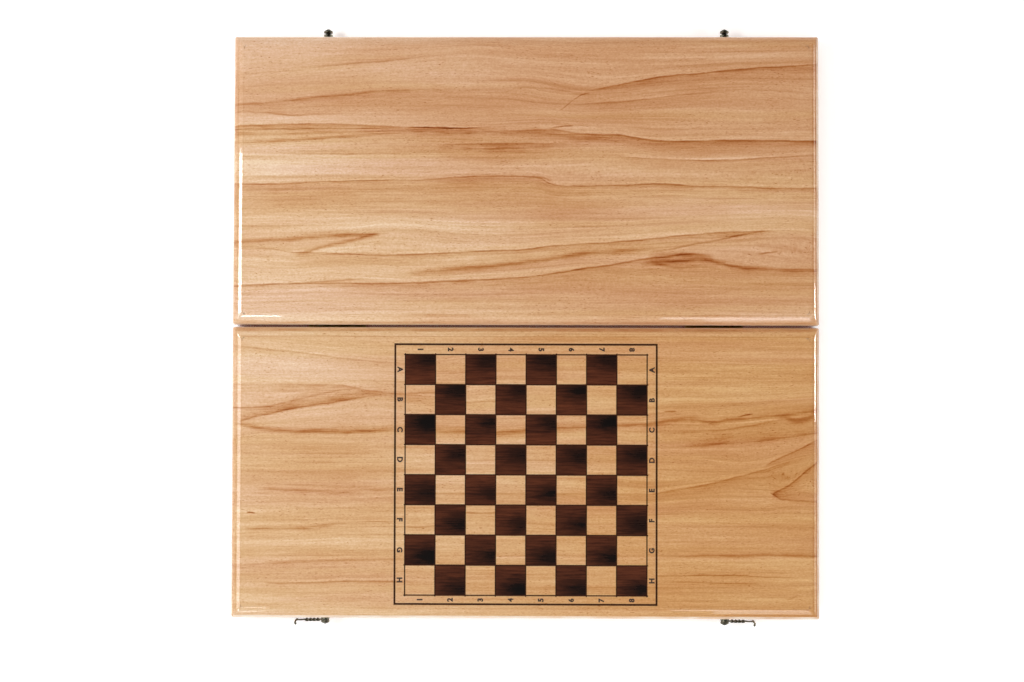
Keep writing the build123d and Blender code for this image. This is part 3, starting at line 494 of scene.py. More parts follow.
def panel_material(name, lines, side, seed):
    sh = Shader(name)
    gx, gs, gh = sh.split(sh.attribute("grain"))
    px, ps, ph = sh.split(sh.attribute("place"))
    # The streaks are weaker in one board of each panel.
    if side == PLAIN:
        calm = sh.mul(sh.smooth(px, 0.0, -150.0), sh.smooth(ps, 145.0, 215.0))
    else:
        calm = sh.mul(sh.smooth(px, -90.0, -170.0), sh.smooth(ps, 118.0, 84.0))
    stain, fleck, relief = beech(sh, gx, gs, gh, seed, sh.sub(1.0, sh.mul(calm, 0.6)))
    stain = sh.math("MULTIPLY_ADD", grain_lines(sh, px, ps, lines, side), 1.4, stain)
    stain = sh.total(stain, sh.mul(fleck, 0.85), broad_places(sh, px, ps, PLAIN_PLACES if side == PLAIN else CHESS_PLACES))

    # Painted shade and painted reflection on the moulding: darker lines and bands, and one paler band, follow each
    # edge at their own inset, as far as the mitres.
    near_x = sh.sub(LENGTH / 2, sh.absolute(px))
    near_s = sh.math("MINIMUM", sh.sub(ps, BACK), sh.sub(FRONT, ps))
    inset = sh.math("MINIMUM", near_x, near_s)
    ends = sh.smooth(sh.sub(near_s, near_x), -0.3, 0.3)
    sides = sh.sub(1.0, ends)
    patchy = sh.smooth(sh.noise(sh.vector(sh.mul(px, 1 / 28), sh.mul(ps, 1 / 28), 3.0), 2.0), 0.3, 0.7, 0.45, 1.25)
    is_right = sh.smooth(px, -1.0, 1.0)
    is_front = sh.smooth(ps, 149.0, 151.0)
    left_end, right_end = sh.mul(ends, sh.sub(1.0, is_right)), sh.mul(ends, is_right)
    hinge_side, front_side = sh.mul(sides, sh.sub(1.0, is_front)), sh.mul(sides, is_front)

    # A line of painted shade along the edges, at one inset.
    def painted_shade_line(where, at, width, amount):
        d = sh.mul(sh.sub(inset, at), 1 / width)
        return sh.mul(sh.exp(sh.mul(sh.mul(d, d), -1.0)), sh.mul(where, amount))

    # A band of painted shade; with an amount below zero, a band of painted reflection.
    def band(where, low, high, amount, soft=0.35):
        up = sh.smooth(inset, low - soft, low + soft)
        down = sh.smooth(inset, high + soft, high - soft)
        return sh.mul(sh.mul(up, down), sh.mul(where, amount))

    marks = [
        painted_shade_line(left_end, 5.3, 0.45, 0.30), painted_shade_line(left_end, 10.8, 0.35, 0.16),
        painted_shade_line(right_end, 3.7, 0.45, 0.38), painted_shade_line(right_end, 7.3, 0.40, 0.36),
    ]
    if side == CHESS:
        marks += [
            band(hinge_side, 1.6, 4.2, 0.36), band(hinge_side, 5.0, 8.6, -0.10, 0.6),
            painted_shade_line(hinge_side, 9.6, 0.5, 0.3), band(front_side, 3.8, 4.9, 0.06, 0.4),
            painted_shade_line(front_side, 11.0, 0.4, 0.12),
        ]
    else:
        marks += [
            band(hinge_side, 1.0, 3.2, 0.18), painted_shade_line(hinge_side, 10.0, 0.4, 0.12),
            painted_shade_line(front_side, 2.6, 0.5, 0.26),
        ]
    # The painted shade and reflection on the moulding are added to the stain, patchy along the edges.
    stain = sh.add(stain, sh.mul(sh.total(*marks), patchy))
    # Painted reflection: its outer edge is painted paler, further in at the front and the right end.
    wide = sh.math("MAXIMUM", right_end, front_side if side == CHESS else 0.0)
    painted_rim_reflection = sh.mul(
        sh.smooth(inset, sh.add(sh.mul(wide, 2.0), 1.6), sh.add(sh.mul(wide, 2.0), 0.8)),
        sh.smooth(ph, PANEL_BASE + 0.9, PANEL_BASE + 1.7),
    )
    painted_rim_reflection = sh.mul(painted_rim_reflection, sh.mul(sh.smooth(hinge_side, 0.0, 1.0, 0.70, 0.25), patchy))

    # Painted sheen: the panels are painted paler towards the left, where the strongest lamp stands.
    drift = sh.noise(sh.vector(sh.mul(px, 1 / 180), sh.mul(ps, 1 / 90), seed), 1.0)
    pale = sh.smooth(sh.add(px, sh.mul(sh.sub(drift, 0.5), 160.0)), 190.0, -330.0)
    if side == CHESS:
        colour = sh.mix(pale, TONE_WARM, TONE_WARM_PALE)
    else:
        colour = sh.mix(sh.mul(pale, 0.75), TONE, TONE_PALE)
    hue = sh.noise(sh.vector(sh.mul(px, 1 / 380), sh.mul(gs, 1 / 21), seed + 6.0), 2.0, 0.5)
    if side == PLAIN:
        hue = sh.add(hue, sh.smooth(ps, 120.0, 270.0, 0.03, -0.16))
    else:
        hue = sh.add(hue, sh.smooth(ps, 130.0, 280.0, 0.0, 0.15))
    colour = sh.mix(1.0, colour, sh.mix(sh.smooth(hue, 0.36, 0.64), ROSE, YELLOW), "MULTIPLY")
    colour = sh.absorb(colour, stain, STAIN)
    # The painted reflection on the outer edge, in a pale tone.
    colour = sh.mix(painted_rim_reflection, colour, rgb(238, 224, 206))
    return sh, colour, stain, relief, (px, ps, ph)


def ends_darker(sh, colour, place_xyz, normal_x, seed):
    """End grain where the fibres of the panel are cut, at x = -300 and 300."""
    x, s, h = place_xyz
    cut = sh.smooth(sh.absolute(normal_x), 0.33, 0.62)
    dark = sh.absorb(colour, sh.sub(end_grain(sh, s, h, seed), 0.17), STAIN)
    return sh.mix(cut, colour, dark)


# ------------------------------------------------------------------ camera
camera = bpy.data.objects.new("camera", bpy.data.cameras.new("camera"))
scene.collection.objects.link(camera)
camera.location = (0.002905692, -0.051433468, 1.6)
camera.rotation_euler = Euler((0.023067, 0.010421, 0.002658))
camera.data.sensor_width = 36.0
camera.data.lens = 1542.125945 * 36.0 / 1024.0
camera.data.clip_start = 0.01
camera.data.clip_end = 100.0
scene.camera = camera
scene.view_settings.view_transform = "Standard"
scene.view_settings.look = "None"


# ------------------------------------------------------------------ room
def studio():
    world = bpy.data.worlds.new("studio")
    scene.world = world
    world.use_nodes = True
    nodes, links = world.node_tree.nodes, world.node_tree.links
    nodes.clear()
    direction = nodes.new("ShaderNodeTexCoord")
    parts = nodes.new("ShaderNodeSeparateXYZ")
    links.new(direction.outputs["Generated"], parts.inputs[0])
    level = nodes.new("ShaderNodeMapRange")
    level.interpolation_type = "SMOOTHSTEP"
    links.new(parts.outputs["Z"], level.inputs["Value"])
    for key, number in (("From Min", 0.12), ("From Max", 0.62), ("To Min", 1.12), ("To Max", 0.03)):
        level.inputs[key].default_value = number
    background = nodes.new("ShaderNodeBackground")
    background.inputs["Color"].default_value = (1.0, 1.0, 1.0, 1.0)
    links.new(level.outputs["Result"], background.inputs["Strength"])
    output = nodes.new("ShaderNodeOutputWorld")
    links.new(background.outputs[0], output.inputs["Surface"])


def softbox(name, edge, angle, toward, distance, size, radiance, across=0.0):
    """A softbox that an edge of the case sees: angle is its height, from the vertical,
    toward its direction in plan and across its shift along the edge, in metres."""
    tip = math.radians(angle)
    out = Vector((math.cos(math.radians(toward)), math.sin(math.radians(toward)), 0.0))
    side = Vector((-out.y, out.x, 0.0))
    base = Vector(edge)
    spot = base + (out * math.sin(tip) + Vector((0, 0, 1)) * math.cos(tip)) * distance
    facing = (spot - base).normalized()
    spot += side * across
    light = bpy.data.lights.new(name, "AREA")
    light.shape = "RECTANGLE"
    light.size, light.size_y = size  # along the edge, and up and away from it
    light.energy = radiance * math.pi * size[0] * size[1]
    thing = bpy.data.objects.new(name, light)
    scene.collection.objects.link(thing)
    up = facing.cross(side)
    thing.matrix_world = Matrix(
        (
            (side.x, up.x, facing.x, spot.x),
            (side.y, up.y, facing.y, spot.y),
            (side.z, up.z, facing.z, spot.z),
            (0, 0, 0, 1),
        )
    )
    thing.visible_camera = False
    return thing


studio()
LEFT, RIGHT, FRONTWARD = 180.0, 0.0, 270.0
# Along the left and right edges, across runs towards -Y on the left, +Y on the right.
softbox("left_strong", (-0.3, 0.0, 0.03), 38.0, LEFT, 2.0, (0.40, 0.50), 26.0, across=-0.29)
softbox("left_weak", (-0.3, 0.0, 0.03), 38.0, LEFT, 2.0, (0.72, 0.50), 5.5, across=0.27)
softbox("right", (0.3, 0.0, 0.03), 58.0, RIGHT, 2.0, (0.34, 0.20), 36.0)
softbox("right_weak", (0.3, 0.0, 0.03), 58.0, RIGHT, 2.05, (1.6, 0.20), 5.0).visible_diffuse = False
# In front, across runs towards +X.
softbox("front_left", (0.0, 0.0, 0.03), 24.2, FRONTWARD, 1.74, (0.16, 0.13), 26.0, across=-0.61)
softbox("front_left_low", (0.0, -0.3, 0.03), 43.0, FRONTWARD, 1.95, (0.18, 0.11), 8.0, across=-0.70)
softbox("corner", (-0.3, -0.3, 0.03), 36.0, 225.0, 2.0, (0.34, 0.22), 22.0).visible_diffuse = False
softbox("front_right", (0.0, 0.0, 0.03), 32.5, FRONTWARD, 1.85, (0.36, 0.42), 6.2, across=0.48)
softbox("front_right_low", (0.0, -0.3, 0.03), 40.0, FRONTWARD, 1.95, (0.34, 0.68), 3.4, across=0.60)
softbox("front_middle", (0.0, 0.0, 0.03), 35.0, FRONTWARD, 1.95, (0.78, 0.9), 0.5, across=-0.10)
# Even light from all round, which the lacquer doesn't show.
softbox("fill_front", (0.0, 0.0, 0.0), 44.0, 270.0, 3.4, (3.0, 1.6), 1.5).visible_glossy = False
softbox("fill_back", (0.0, 0.0, 0.0), 44.0, 90.0, 3.4, (3.0, 1.6), 1.5).visible_glossy = False


def build_floor():
    sh = Shader("studio_floor")
    spot = sh.coordinates()
    tone = sh.noise(spot, 3.0, 0.5, 0.0, 2.0)
    colour = sh.mix(tone, (0.92, 0.92, 0.92, 1.0), (0.94, 0.94, 0.94, 1.0))
    # A lit white table. It gives no light where something stands close over it.
    opening = sh.nodes.new("ShaderNodeAmbientOcclusion")
    opening.samples = 6
    opening.inputs["Distance"].default_value = 0.06
    glow = sh.smooth(opening.outputs["AO"], 0.26, 0.45, 0.0, 0.4)
    x, y, _ = sh.split(spot)
    away = sh.math("SQRT", sh.add(sh.mul(x, x), sh.mul(y, y)))
    glow = sh.add(glow, sh.smooth(away, 0.7, 2.6, 0.0, 0.6))
    # Painted shade: the floor is painted dark brown where the hinge line stands close over it, and glows dark brown
    # there.
    colour = sh.mix(sh.smooth(opening.outputs["AO"], 0.1, 0.4), rgb(130, 66, 42), colour)
    seam_painted_glow = sh.smooth(opening.outputs["AO"], 0.30, 0.14)
    sh.surface(colour, 0.65, Specular_IOR_Level=0.2)
    node = [n for n in sh.nodes if n.type == "BSDF_PRINCIPLED"][0]
    # Painted light: a faint dark brown glow in the shaded seam.
    sh.put(node.inputs["Emission Color"], sh.mix(seam_painted_glow, (1.0, 1.0, 1.0, 1.0), rgb(66, 36, 22)))
    sh.put(node.inputs["Emission Strength"], sh.add(glow, seam_painted_glow))
    bm = bmesh.new()
    bmesh.ops.create_grid(bm, x_segments=24, y_segments=24, size=20.0)
    mesh = bpy.data.meshes.new("floor")
    bm.to_mesh(mesh)
    bm.free()
    floor = bpy.data.objects.new("floor", mesh)
    scene.collection.objects.link(floor)
    mesh.materials.append(sh.material)


build_floor()


# ------------------------------------------------------------------ panels
def grid_steps(low, high, step):
    count = max(2, int(round((high - low) / step)) + 1)
    return np.linspace(low, high, count)


def build_panel(name, node, side, lines, material, body):
    half = LENGTH / 2
    xs = grid_steps(-half + GRID_INSET, half - GRID_INSET, 4.0)
    ss = grid_steps(BACK + GRID_INSET, FRONT - GRID_INSET, 4.0)
    corner_n = 5

    def ring(inset, height):
        """One loop of the outline, front edge first, the same number of points each."""
        radius = 2.2 - 0.04 * inset
        x_edge, s_front, s_back = half - inset, FRONT - inset, BACK + inset
        points = []

        def arc(cx, cs, start):
            for k in range(corner_n):
                a = math.radians(start + 90.0 * k / (corner_n - 1))
                points.append((cx + radius * math.cos(a), cs + radius * math.sin(a), height))

        points.extend((x, s_back, height) for x in xs)
        arc(x_edge - radius, s_back + radius, -90.0)
        points.extend((x_edge, s, height) for s in ss)
        arc(x_edge - radius, s_front - radius, 0.0)
        points.extend((x, s_front, height) for x in xs[::-1])
        arc(-x_edge + radius, s_front - radius, 90.0)
        points.extend((-x_edge, s, height) for s in ss[::-1])
        arc(-x_edge + radius, s_back + radius, 180.0)
        return points

    rings = [ring(1.0, PANEL_BASE)] + [ring(inset, PANEL_BASE + z) for inset, z in PROFILE]
    count = len(rings[0])
    points = [p for r in rings for p in r]
    faces = []
    for k in range(len(rings) - 1):
        a, b = k * count, (k + 1) * count
        for i in range(count):
            j = (i + 1) % count
            faces.append((a + i, a + j, b + j, b + i))
    top = len(points)
    points.extend((x, s, FIELD) for s in ss for x in xs)
    nx, ns = len(xs), len(ss)

    def cell(i, j):
        return top + j * nx + i

    # The border of the grid, in the same order as a ring, each corner repeated.
    border = [cell(i, 0) for i in range(nx)] + [cell(nx - 1, 0)] * corner_n
    border += [cell(nx - 1, j) for j in range(ns)] + [cell(nx - 1, ns - 1)] * corner_n
    border += [cell(i, ns - 1) for i in range(nx - 1, -1, -1)] + [cell(0, ns - 1)] * corner_n
    border += [cell(0, j) for j in range(ns - 1, -1, -1)] + [cell(0, 0)] * corner_n
    last = (len(rings) - 1) * count
    for i in range(count):
        j = (i + 1) % count
        face = [last + i, last + j, border[j], border[i]]
        if border[i] == border[j]:
            face.pop()
        faces.append(tuple(face))
    for j in range(ns - 1):
        for i in range(nx - 1):
            faces.append((cell(i, j), cell(i + 1, j), cell(i + 1, j + 1), cell(i, j + 1)))
    faces.append(tuple(range(count))[::-1])

    local = np.array(points, dtype=float)
    world = to_scene(side, local)
    if side == PLAIN:
        pass
    else:
        faces = [tuple(reversed(face)) for face in faces]
    mesh = bpy.data.meshes.new(name)
    mesh.from_pydata(world.tolist(), [], faces)
    mesh.validate()
    for polygon in mesh.polygons:
        polygon.use_smooth = len(polygon.vertices) < 5

    # The fine grain follows the listed lines: each pulls it up or down near itself.
    x, s, h = local.T
    pull = np.zeros(len(local))
    weight = np.full(len(local), 0.6)
    for _, _, _, core, band, _, marks in lines:
        lx = np.array([m[0] for m in marks], dtype=float)
        ls = np.array([m[1] for m in marks], dtype=float)
        if lx[-1] - lx[0] < 40.0:
            continue
        here = np.interp(x, lx, ls)
        middle = float(np.interp(0.5 * (lx[0] + lx[-1]), lx, ls))
        past = np.maximum(lx[0] - x, 0.0) + np.maximum(x - lx[-1], 0.0)
        w = np.exp(-((s - here) / 13.0) ** 2) * np.exp(-((past / 45.0) ** 2))
        pull += w * (here - middle)
        weight += w
    grain = np.stack([x, s - pull / weight, h], 1)
    for key, values in (("place", local), ("grain", grain)):
        layer = mesh.attributes.new(key, "FLOAT_VECTOR", "POINT")
        layer.data.foreach_set("vector", values.astype(np.float32).ravel())
    mesh.materials.append(material)
    piece = bpy.data.objects.new(name, mesh)
    scene.collection.objects.link(piece)
    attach(piece, body)
    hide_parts(node)
    return piece


def plain_panel_material():
    sh, colour, stain, relief, where = panel_material("lacquered_beech_plain", PLAIN_LINES, PLAIN, 0.0)
    normal_x = sh.split(sh.coordinates("Normal"))[0]
    colour = ends_darker(sh, colour, where, normal_x, 3.0)
    rough = sh.smooth(stain, -0.5, 0.8, 0.36, 0.46)
    return lacquer(sh, colour, rough, relief, True)


def chess_panel_material():
    sh, colour, stain, relief, where = panel_material("lacquered_beech_chess", CHESS_LINES, CHESS, 31.0)
    x, s, h = where
    normal_x = sh.split(sh.coordinates("Normal"))[0]
    colour = ends_darker(sh, colour, where, normal_x, 8.0)
    cx, cs, hx, hs = SQUARES

    edge = sh.mul(sh.sub(sh.noise(sh.vector(sh.mul(x, 1.0), sh.mul(s, 1.0), 2.0), 2.0), 0.5), 0.24)
    u = sh.mul(sh.add(x, hx - cx), 4 / hx)
    v = sh.mul(sh.add(s, hs - cs), 4 / hs)
    col, row = sh.math("FLOOR", u), sh.math("FLOOR", v)
    odd = sh.math("MODULO", sh.add(sh.add(col, row), 64.0), 2.0)
    in_x = sh.sub(hx, sh.absolute(sh.sub(x, cx)))
    in_s = sh.sub(hs, sh.absolute(sh.sub(s, cs)))
    inside = sh.math("GREATER_THAN", sh.math("MINIMUM", in_x, in_s), 0.0)
    dark = sh.mul(inside, sh.sub(1.0, odd))
    fu, fv = sh.sub(u, col), sh.sub(v, row)

    # Each dark square is a stain that the heat has turned almost black towards
    # its outer right corner, streaked along the grain.
    grainy = sh.smooth(stain, -0.45, 0.6)
    veins = sh.noise(sh.vector(sh.mul(x, 1 / 26), sh.mul(s, 1 / 1.7), 6.0), 3.0, 0.6)
    depth = sh.clamp(sh.add(sh.mul(grainy, 0.45), sh.smooth(veins, 0.34, 0.66, 0.0, 0.65)))
    red = sh.mix(depth, rgb(101, 53, 33), rgb(58, 28, 18))
    ra, rb, rc = sh.cell_random(col, row)
    sa, sb, _ = sh.cell_random(sh.add(col, 31.0), row)
    swirl = sh.sub(sh.noise(sh.vector(sh.mul(x, 1 / 12), sh.mul(s, 1 / 4), 5.0), 3.0, 0.55), 0.5)
    threads = sh.sub(sh.noise(sh.vector(sh.mul(x, 1 / 18), sh.mul(s, 1 / 1.1), 9.0), 2.0, 0.6), 0.5)
    lower = sh.math("GREATER_THAN", row, 3.5)
    inward = sh.add(sh.mul(fv, sh.sub(1.0, lower)), sh.mul(sh.sub(1.0, fv), lower))
    shift = sh.mul(sh.sub(row, 4.2), 1 / 2.6)
    shift = sh.mul(sh.exp(sh.mul(sh.mul(shift, shift), -1.0)), 0.28)
    du = sh.mul(sh.sub(fu, 0.86), 1 / 0.62)
    dv = sh.mul(sh.sub(sh.sub(inward, 0.1), shift), 1 / 0.34)
    distance = sh.math("SQRT", sh.add(sh.mul(du, du), sh.mul(dv, dv)))
    reach = sh.total(
        1.0,
        sh.mul(distance, -1.0),
        sh.mul(shift, -0.8),
        sh.mul(sh.sub(ra, 0.5), 0.3),
        sh.mul(sh.sub(rb, 0.5), 0.3),
        sh.mul(swirl, 1.0),
        sh.mul(threads, 0.65),
    )
    smoke = sh.mul(sh.smooth(reach, -0.95, 0.75), sh.smooth(rc, 0.0, 1.0, 0.84, 1.0))
    overall = sh.smooth(sa, 0.0, 1.0, 0.0, 0.22)
    smoke = sh.clamp(sh.add(smoke, sh.mul(overall, sh.sub(1.0, smoke))))
    squares = sh.mix(smoke, red, rgb(16, 12, 11))
    colour = sh.mix(dark, colour, squares)

    # Thin lines between the squares and the frame line.
    def line_at(distance, width):
        return sh.smooth(sh.absolute(sh.add(distance, edge)), width / 2 + 0.18, width / 2 - 0.18)

    near_u = sh.mul(sh.absolute(sh.sub(u, sh.math("ROUND", u))), hx / 4)
    near_v = sh.mul(sh.absolute(sh.sub(v, sh.math("ROUND", v))), hs / 4)
    near = sh.math("MINIMUM", near_u, near_v)
    in_lines = sh.math("GREATER_THAN", sh.math("MINIMUM", in_x, in_s), -LINE_W)
    ruled = sh.mul(line_at(near, LINE_W), in_lines)
    bx, bs, bhx, bhs = BORDER
    out_x = sh.sub(sh.absolute(sh.sub(x, bx)), bhx)
    out_s = sh.sub(sh.absolute(sh.sub(s, bs)), bhs)
    framed = line_at(sh.math("MAXIMUM", out_x, out_s), 1.95)
    ink = sh.math("MAXIMUM", ruled, framed)
    ink_tone = sh.mix(grainy, rgb(62, 33, 21), rgb(36, 19, 12))
    top = sh.math("GREATER_THAN", h, FIELD - 0.5)
    colour = sh.mix(sh.mul(sh.mul(ink, top), 0.985), colour, ink_tone)
    rough = sh.smooth(stain, -0.5, 0.8, 0.36, 0.46)
    return lacquer(sh, colour, rough, relief, True)


plain_panel = build_panel("plain_panel_moulded", "plain_panel", PLAIN, PLAIN_LINES, plain_panel_material(), "plain_half")
chess_panel = build_panel("chess_panel_moulded", "chess_panel", CHESS, CHESS_LINES, chess_panel_material(), "chess_half")


# ------------------------------------------------------------------ letters and digits
def glyph_mesh(text, size):
    """One character as a flat mesh in its own plane, centred, cap height in mm."""
    data = bpy.data.curves.new("glyph_" + text, "FONT")
    data.body = text
    data.size = 10.0
    data.resolution_u = 4
    data.extrude = 0.0
    data.offset = 0.28 if text == "4" else 0.50
    thing = bpy.data.objects.new("glyph_" + text, data)
    scene.collection.objects.link(thing)
    bpy.context.view_layer.update()
    mesh = bpy.data.meshes.new_from_object(thing.evaluated_get(bpy.context.evaluated_depsgraph_get()))
    bpy.data.objects.remove(thing)
    bpy.data.curves.remove(data)
    verts = np.array([v.co[:2] for v in mesh.vertices])
    faces = [tuple(p.vertices) for p in mesh.polygons]
    bpy.data.meshes.remove(mesh)
    low, high = verts.min(0), verts.max(0)
    verts = (verts - (low + high) / 2) * (size / (high[1] - low[1]))
    return verts, faces


def build_labels():
    cx, cs, hx, hs = SQUARES
    bm = bmesh.new()
    z_low, z_high = FIELD - 0.12, FIELD + 0.045

    def add(text, x, s, up):
        verts, faces = glyph_mesh(text, LETTER_H)
        # up = 1: the top of the glyph points to +x and its right to +s.
        layers = []
        for z in (z_low, z_high):
            layers.append([bm.verts.new(place(CHESS, x + up * gy, s + up * gx, z)) for gx, gy in verts])
        edges = {}
        for face in faces:
            bm.faces.new([layers[1][i] for i in face])
            bm.faces.new([layers[0][i] for i in reversed(face)])
            for a, b in zip(face, face[1:] + face[:1]):
                edges[(a, b)] = edges.get((a, b), 0) + 1
        for a, b in edges:
            if (b, a) not in edges:
                bm.faces.new([layers[1][b], layers[1][a], layers[0][a], layers[0][b]])

    for k in range(8):
        s = cs - hs + (k + 0.5) * hs / 4
        add("ABCDEFGH"[k], -127.3, s, 1)
        add("ABCDEFGH"[k], 128.9, s, -1)
        x = cx - hx + (k + 0.5) * hx / 4
        add("12345678"[k], x, 23.8, 1)
        add("12345678"[k], x, 278.2, -1)
    bmesh.ops.remove_doubles(bm, verts=bm.verts, dist=1e-7)
    bmesh.ops.recalc_face_normals(bm, faces=bm.faces)
    mesh = bpy.data.meshes.new("board_labels")
    bm.to_mesh(mesh)
    bm.free()
    sh = Shader("burnt_marks")
    spot = sh.coordinates()
    tone = sh.noise(spot, 3.0, 0.6, 0.0, 900.0)
    colour = sh.mix(sh.smooth(tone, 0.35, 0.7), rgb(34, 18, 12), rgb(62, 36, 24))
    sh.surface(colour, 0.45, sh.bump(tone, 0.00005, 0.3), Coat_Weight=0.9, Coat_Roughness=0.07)
    mesh.materials.append(sh.material)
    piece = bpy.data.objects.new("board_labels", mesh)
    scene.collection.objects.link(piece)
    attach(piece, "chess_half")


build_labels()


# ------------------------------------------------------------------ walls
def wall_material(name, along_x, seed):
    """A wall of the case: fibres run along it, and its box-jointed ends are cut."""
    sh = Shader(name)
    x, y, z = (sh.mul(value, 1000.0) for value in sh.split(sh.coordinates()))
    nx, ny, nz = sh.split(sh.coordinates("Normal"))
    along, across, facing = (x, y, nx) if along_x else (y, x, ny)
    stain, fleck, relief = beech(sh, along, across, z, seed)
    stain = sh.total(stain, sh.mul(fleck, 0.5), 0.05)
    cut = sh.smooth(sh.absolute(facing), 0.55, 0.9)
    pale = sh.smooth(sh.noise(sh.vector(sh.mul(x, 1 / 220), sh.mul(y, 1 / 220), sh.mul(z, 1 / 40)), 1.0), 0.35, 0.7)
    colour = sh.mix(sh.mul(pale, 0.45), TONE, TONE_PALE)
    ends = sh.absorb(colour, end_grain(sh, across, z, seed), STAIN)
    colour = sh.mix(cut, sh.absorb(colour, stain, STAIN), ends)
    rough = sh.smooth(stain, -0.5, 0.8, 0.38, 0.5)
    return lacquer(sh, colour, rough, relief, False)


def playfield_material():
    """The inside of the case: lacquered plywood with twelve points to each half."""
    sh = Shader("inner_playing_field")
    x, y, z = (sh.mul(value, 1000.0) for value in sh.split(sh.coordinates()))
    stain, fleck, relief = beech(sh, x, y, z, 61.0)
    stain = sh.total(stain, sh.mul(fleck, 0.5))
    wood = sh.absorb(sh.mix(0.35, TONE, TONE_PALE), stain, STAIN)
    from_hinge = sh.absolute(y)
    inner, outer = 13.4, 285.9
    width = (outer - inner) / 6
    t = sh.mul(sh.sub(from_hinge, inner), 1 / width)
    cell = sh.math("FLOOR", t)
    mid = sh.absolute(sh.sub(sh.sub(t, cell), 0.5))
    from_end = sh.sub(LENGTH / 2 - 12.2, sh.absolute(x))
    reach = sh.mul(sh.sub(235.0, from_end), 0.46 / 235.0)
    inside = sh.sub(reach, mid)
    filled = sh.smooth(inside, -0.004, 0.004)
    outline = sh.smooth(sh.absolute(inside), 0.03, 0.018)
    turn = sh.math("GREATER_THAN", x, 0.0)
    flip = sh.math("GREATER_THAN", y, 0.0)
    odd = sh.math("MODULO", sh.total(cell, turn, flip, 64.0), 2.0)
    dark = sh.absorb(rgb(104, 60, 40), stain, (0.5, 0.6, 0.7))
    mid_tone = sh.absorb(rgb(178, 118, 72), stain, (0.6, 0.8, 1.0))
    colour = sh.mix(filled, wood, sh.mix(odd, dark, mid_tone))
    colour = sh.mix(sh.mul(outline, 0.9), colour, rgb(48, 26, 16))
    rough = sh.smooth(stain, -0.5, 0.8, 0.36, 0.46)
    return lacquer(sh, colour, rough, relief, False)


long_wall = wall_material("lacquered_beech_long_wall", True, 12.0)
end_wall = wall_material("lacquered_beech_end_wall", False, 23.0)
for half in ("plain", "chess"):
    dress(half + "_front_wall", long_wall)
    dress(half + "_back_wall", long_wall)
    dress(half + "_left_wall", end_wall)
    dress(half + "_right_wall", end_wall)
field_wood = playfield_material()
dress("plain_playfield", field_wood)
dress("chess_playfield", field_wood)


# ------------------------------------------------------------------ hardware
def metal(name, dark, light, rough, scale, worn):
    """Plated metal: patina in the hollows and a brighter, smoother rubbed skin."""
    sh = Shader(name)
    spot = sh.coordinates()
    cloud = sh.noise(spot, 3.0, 0.6, 0.3, scale)
    grit = sh.noise(spot, 2.0, 0.6, 0.0, scale * 9)
    edge = sh.nodes.new("ShaderNodeNewGeometry").outputs["Pointiness"]
    rubbed = sh.smooth(edge, 0.5, 0.58)
    amount = sh.clamp(sh.total(sh.smooth(cloud, 0.5, 0.78, 0.0, 0.5), sh.mul(rubbed, worn), sh.mul(sh.sub(grit, 0.5), 0.26)))
    colour = sh.mix(amount, dark, light)
    roughness = sh.add(sh.smooth(amount, 0.0, 1.0, rough + 0.12, rough - 0.06), sh.mul(sh.sub(grit, 0.5), 0.12))
    normal = sh.bump(sh.add(sh.mul(cloud, 0.5), sh.mul(grit, 0.25)), 0.00012, 0.4)
    return sh.surface(colour, roughness, normal, Metallic=1.0)


bronze = metal("antique_bronze", rgb(23, 20, 17), rgb(152, 149, 130), 0.25, 420.0, 0.75)


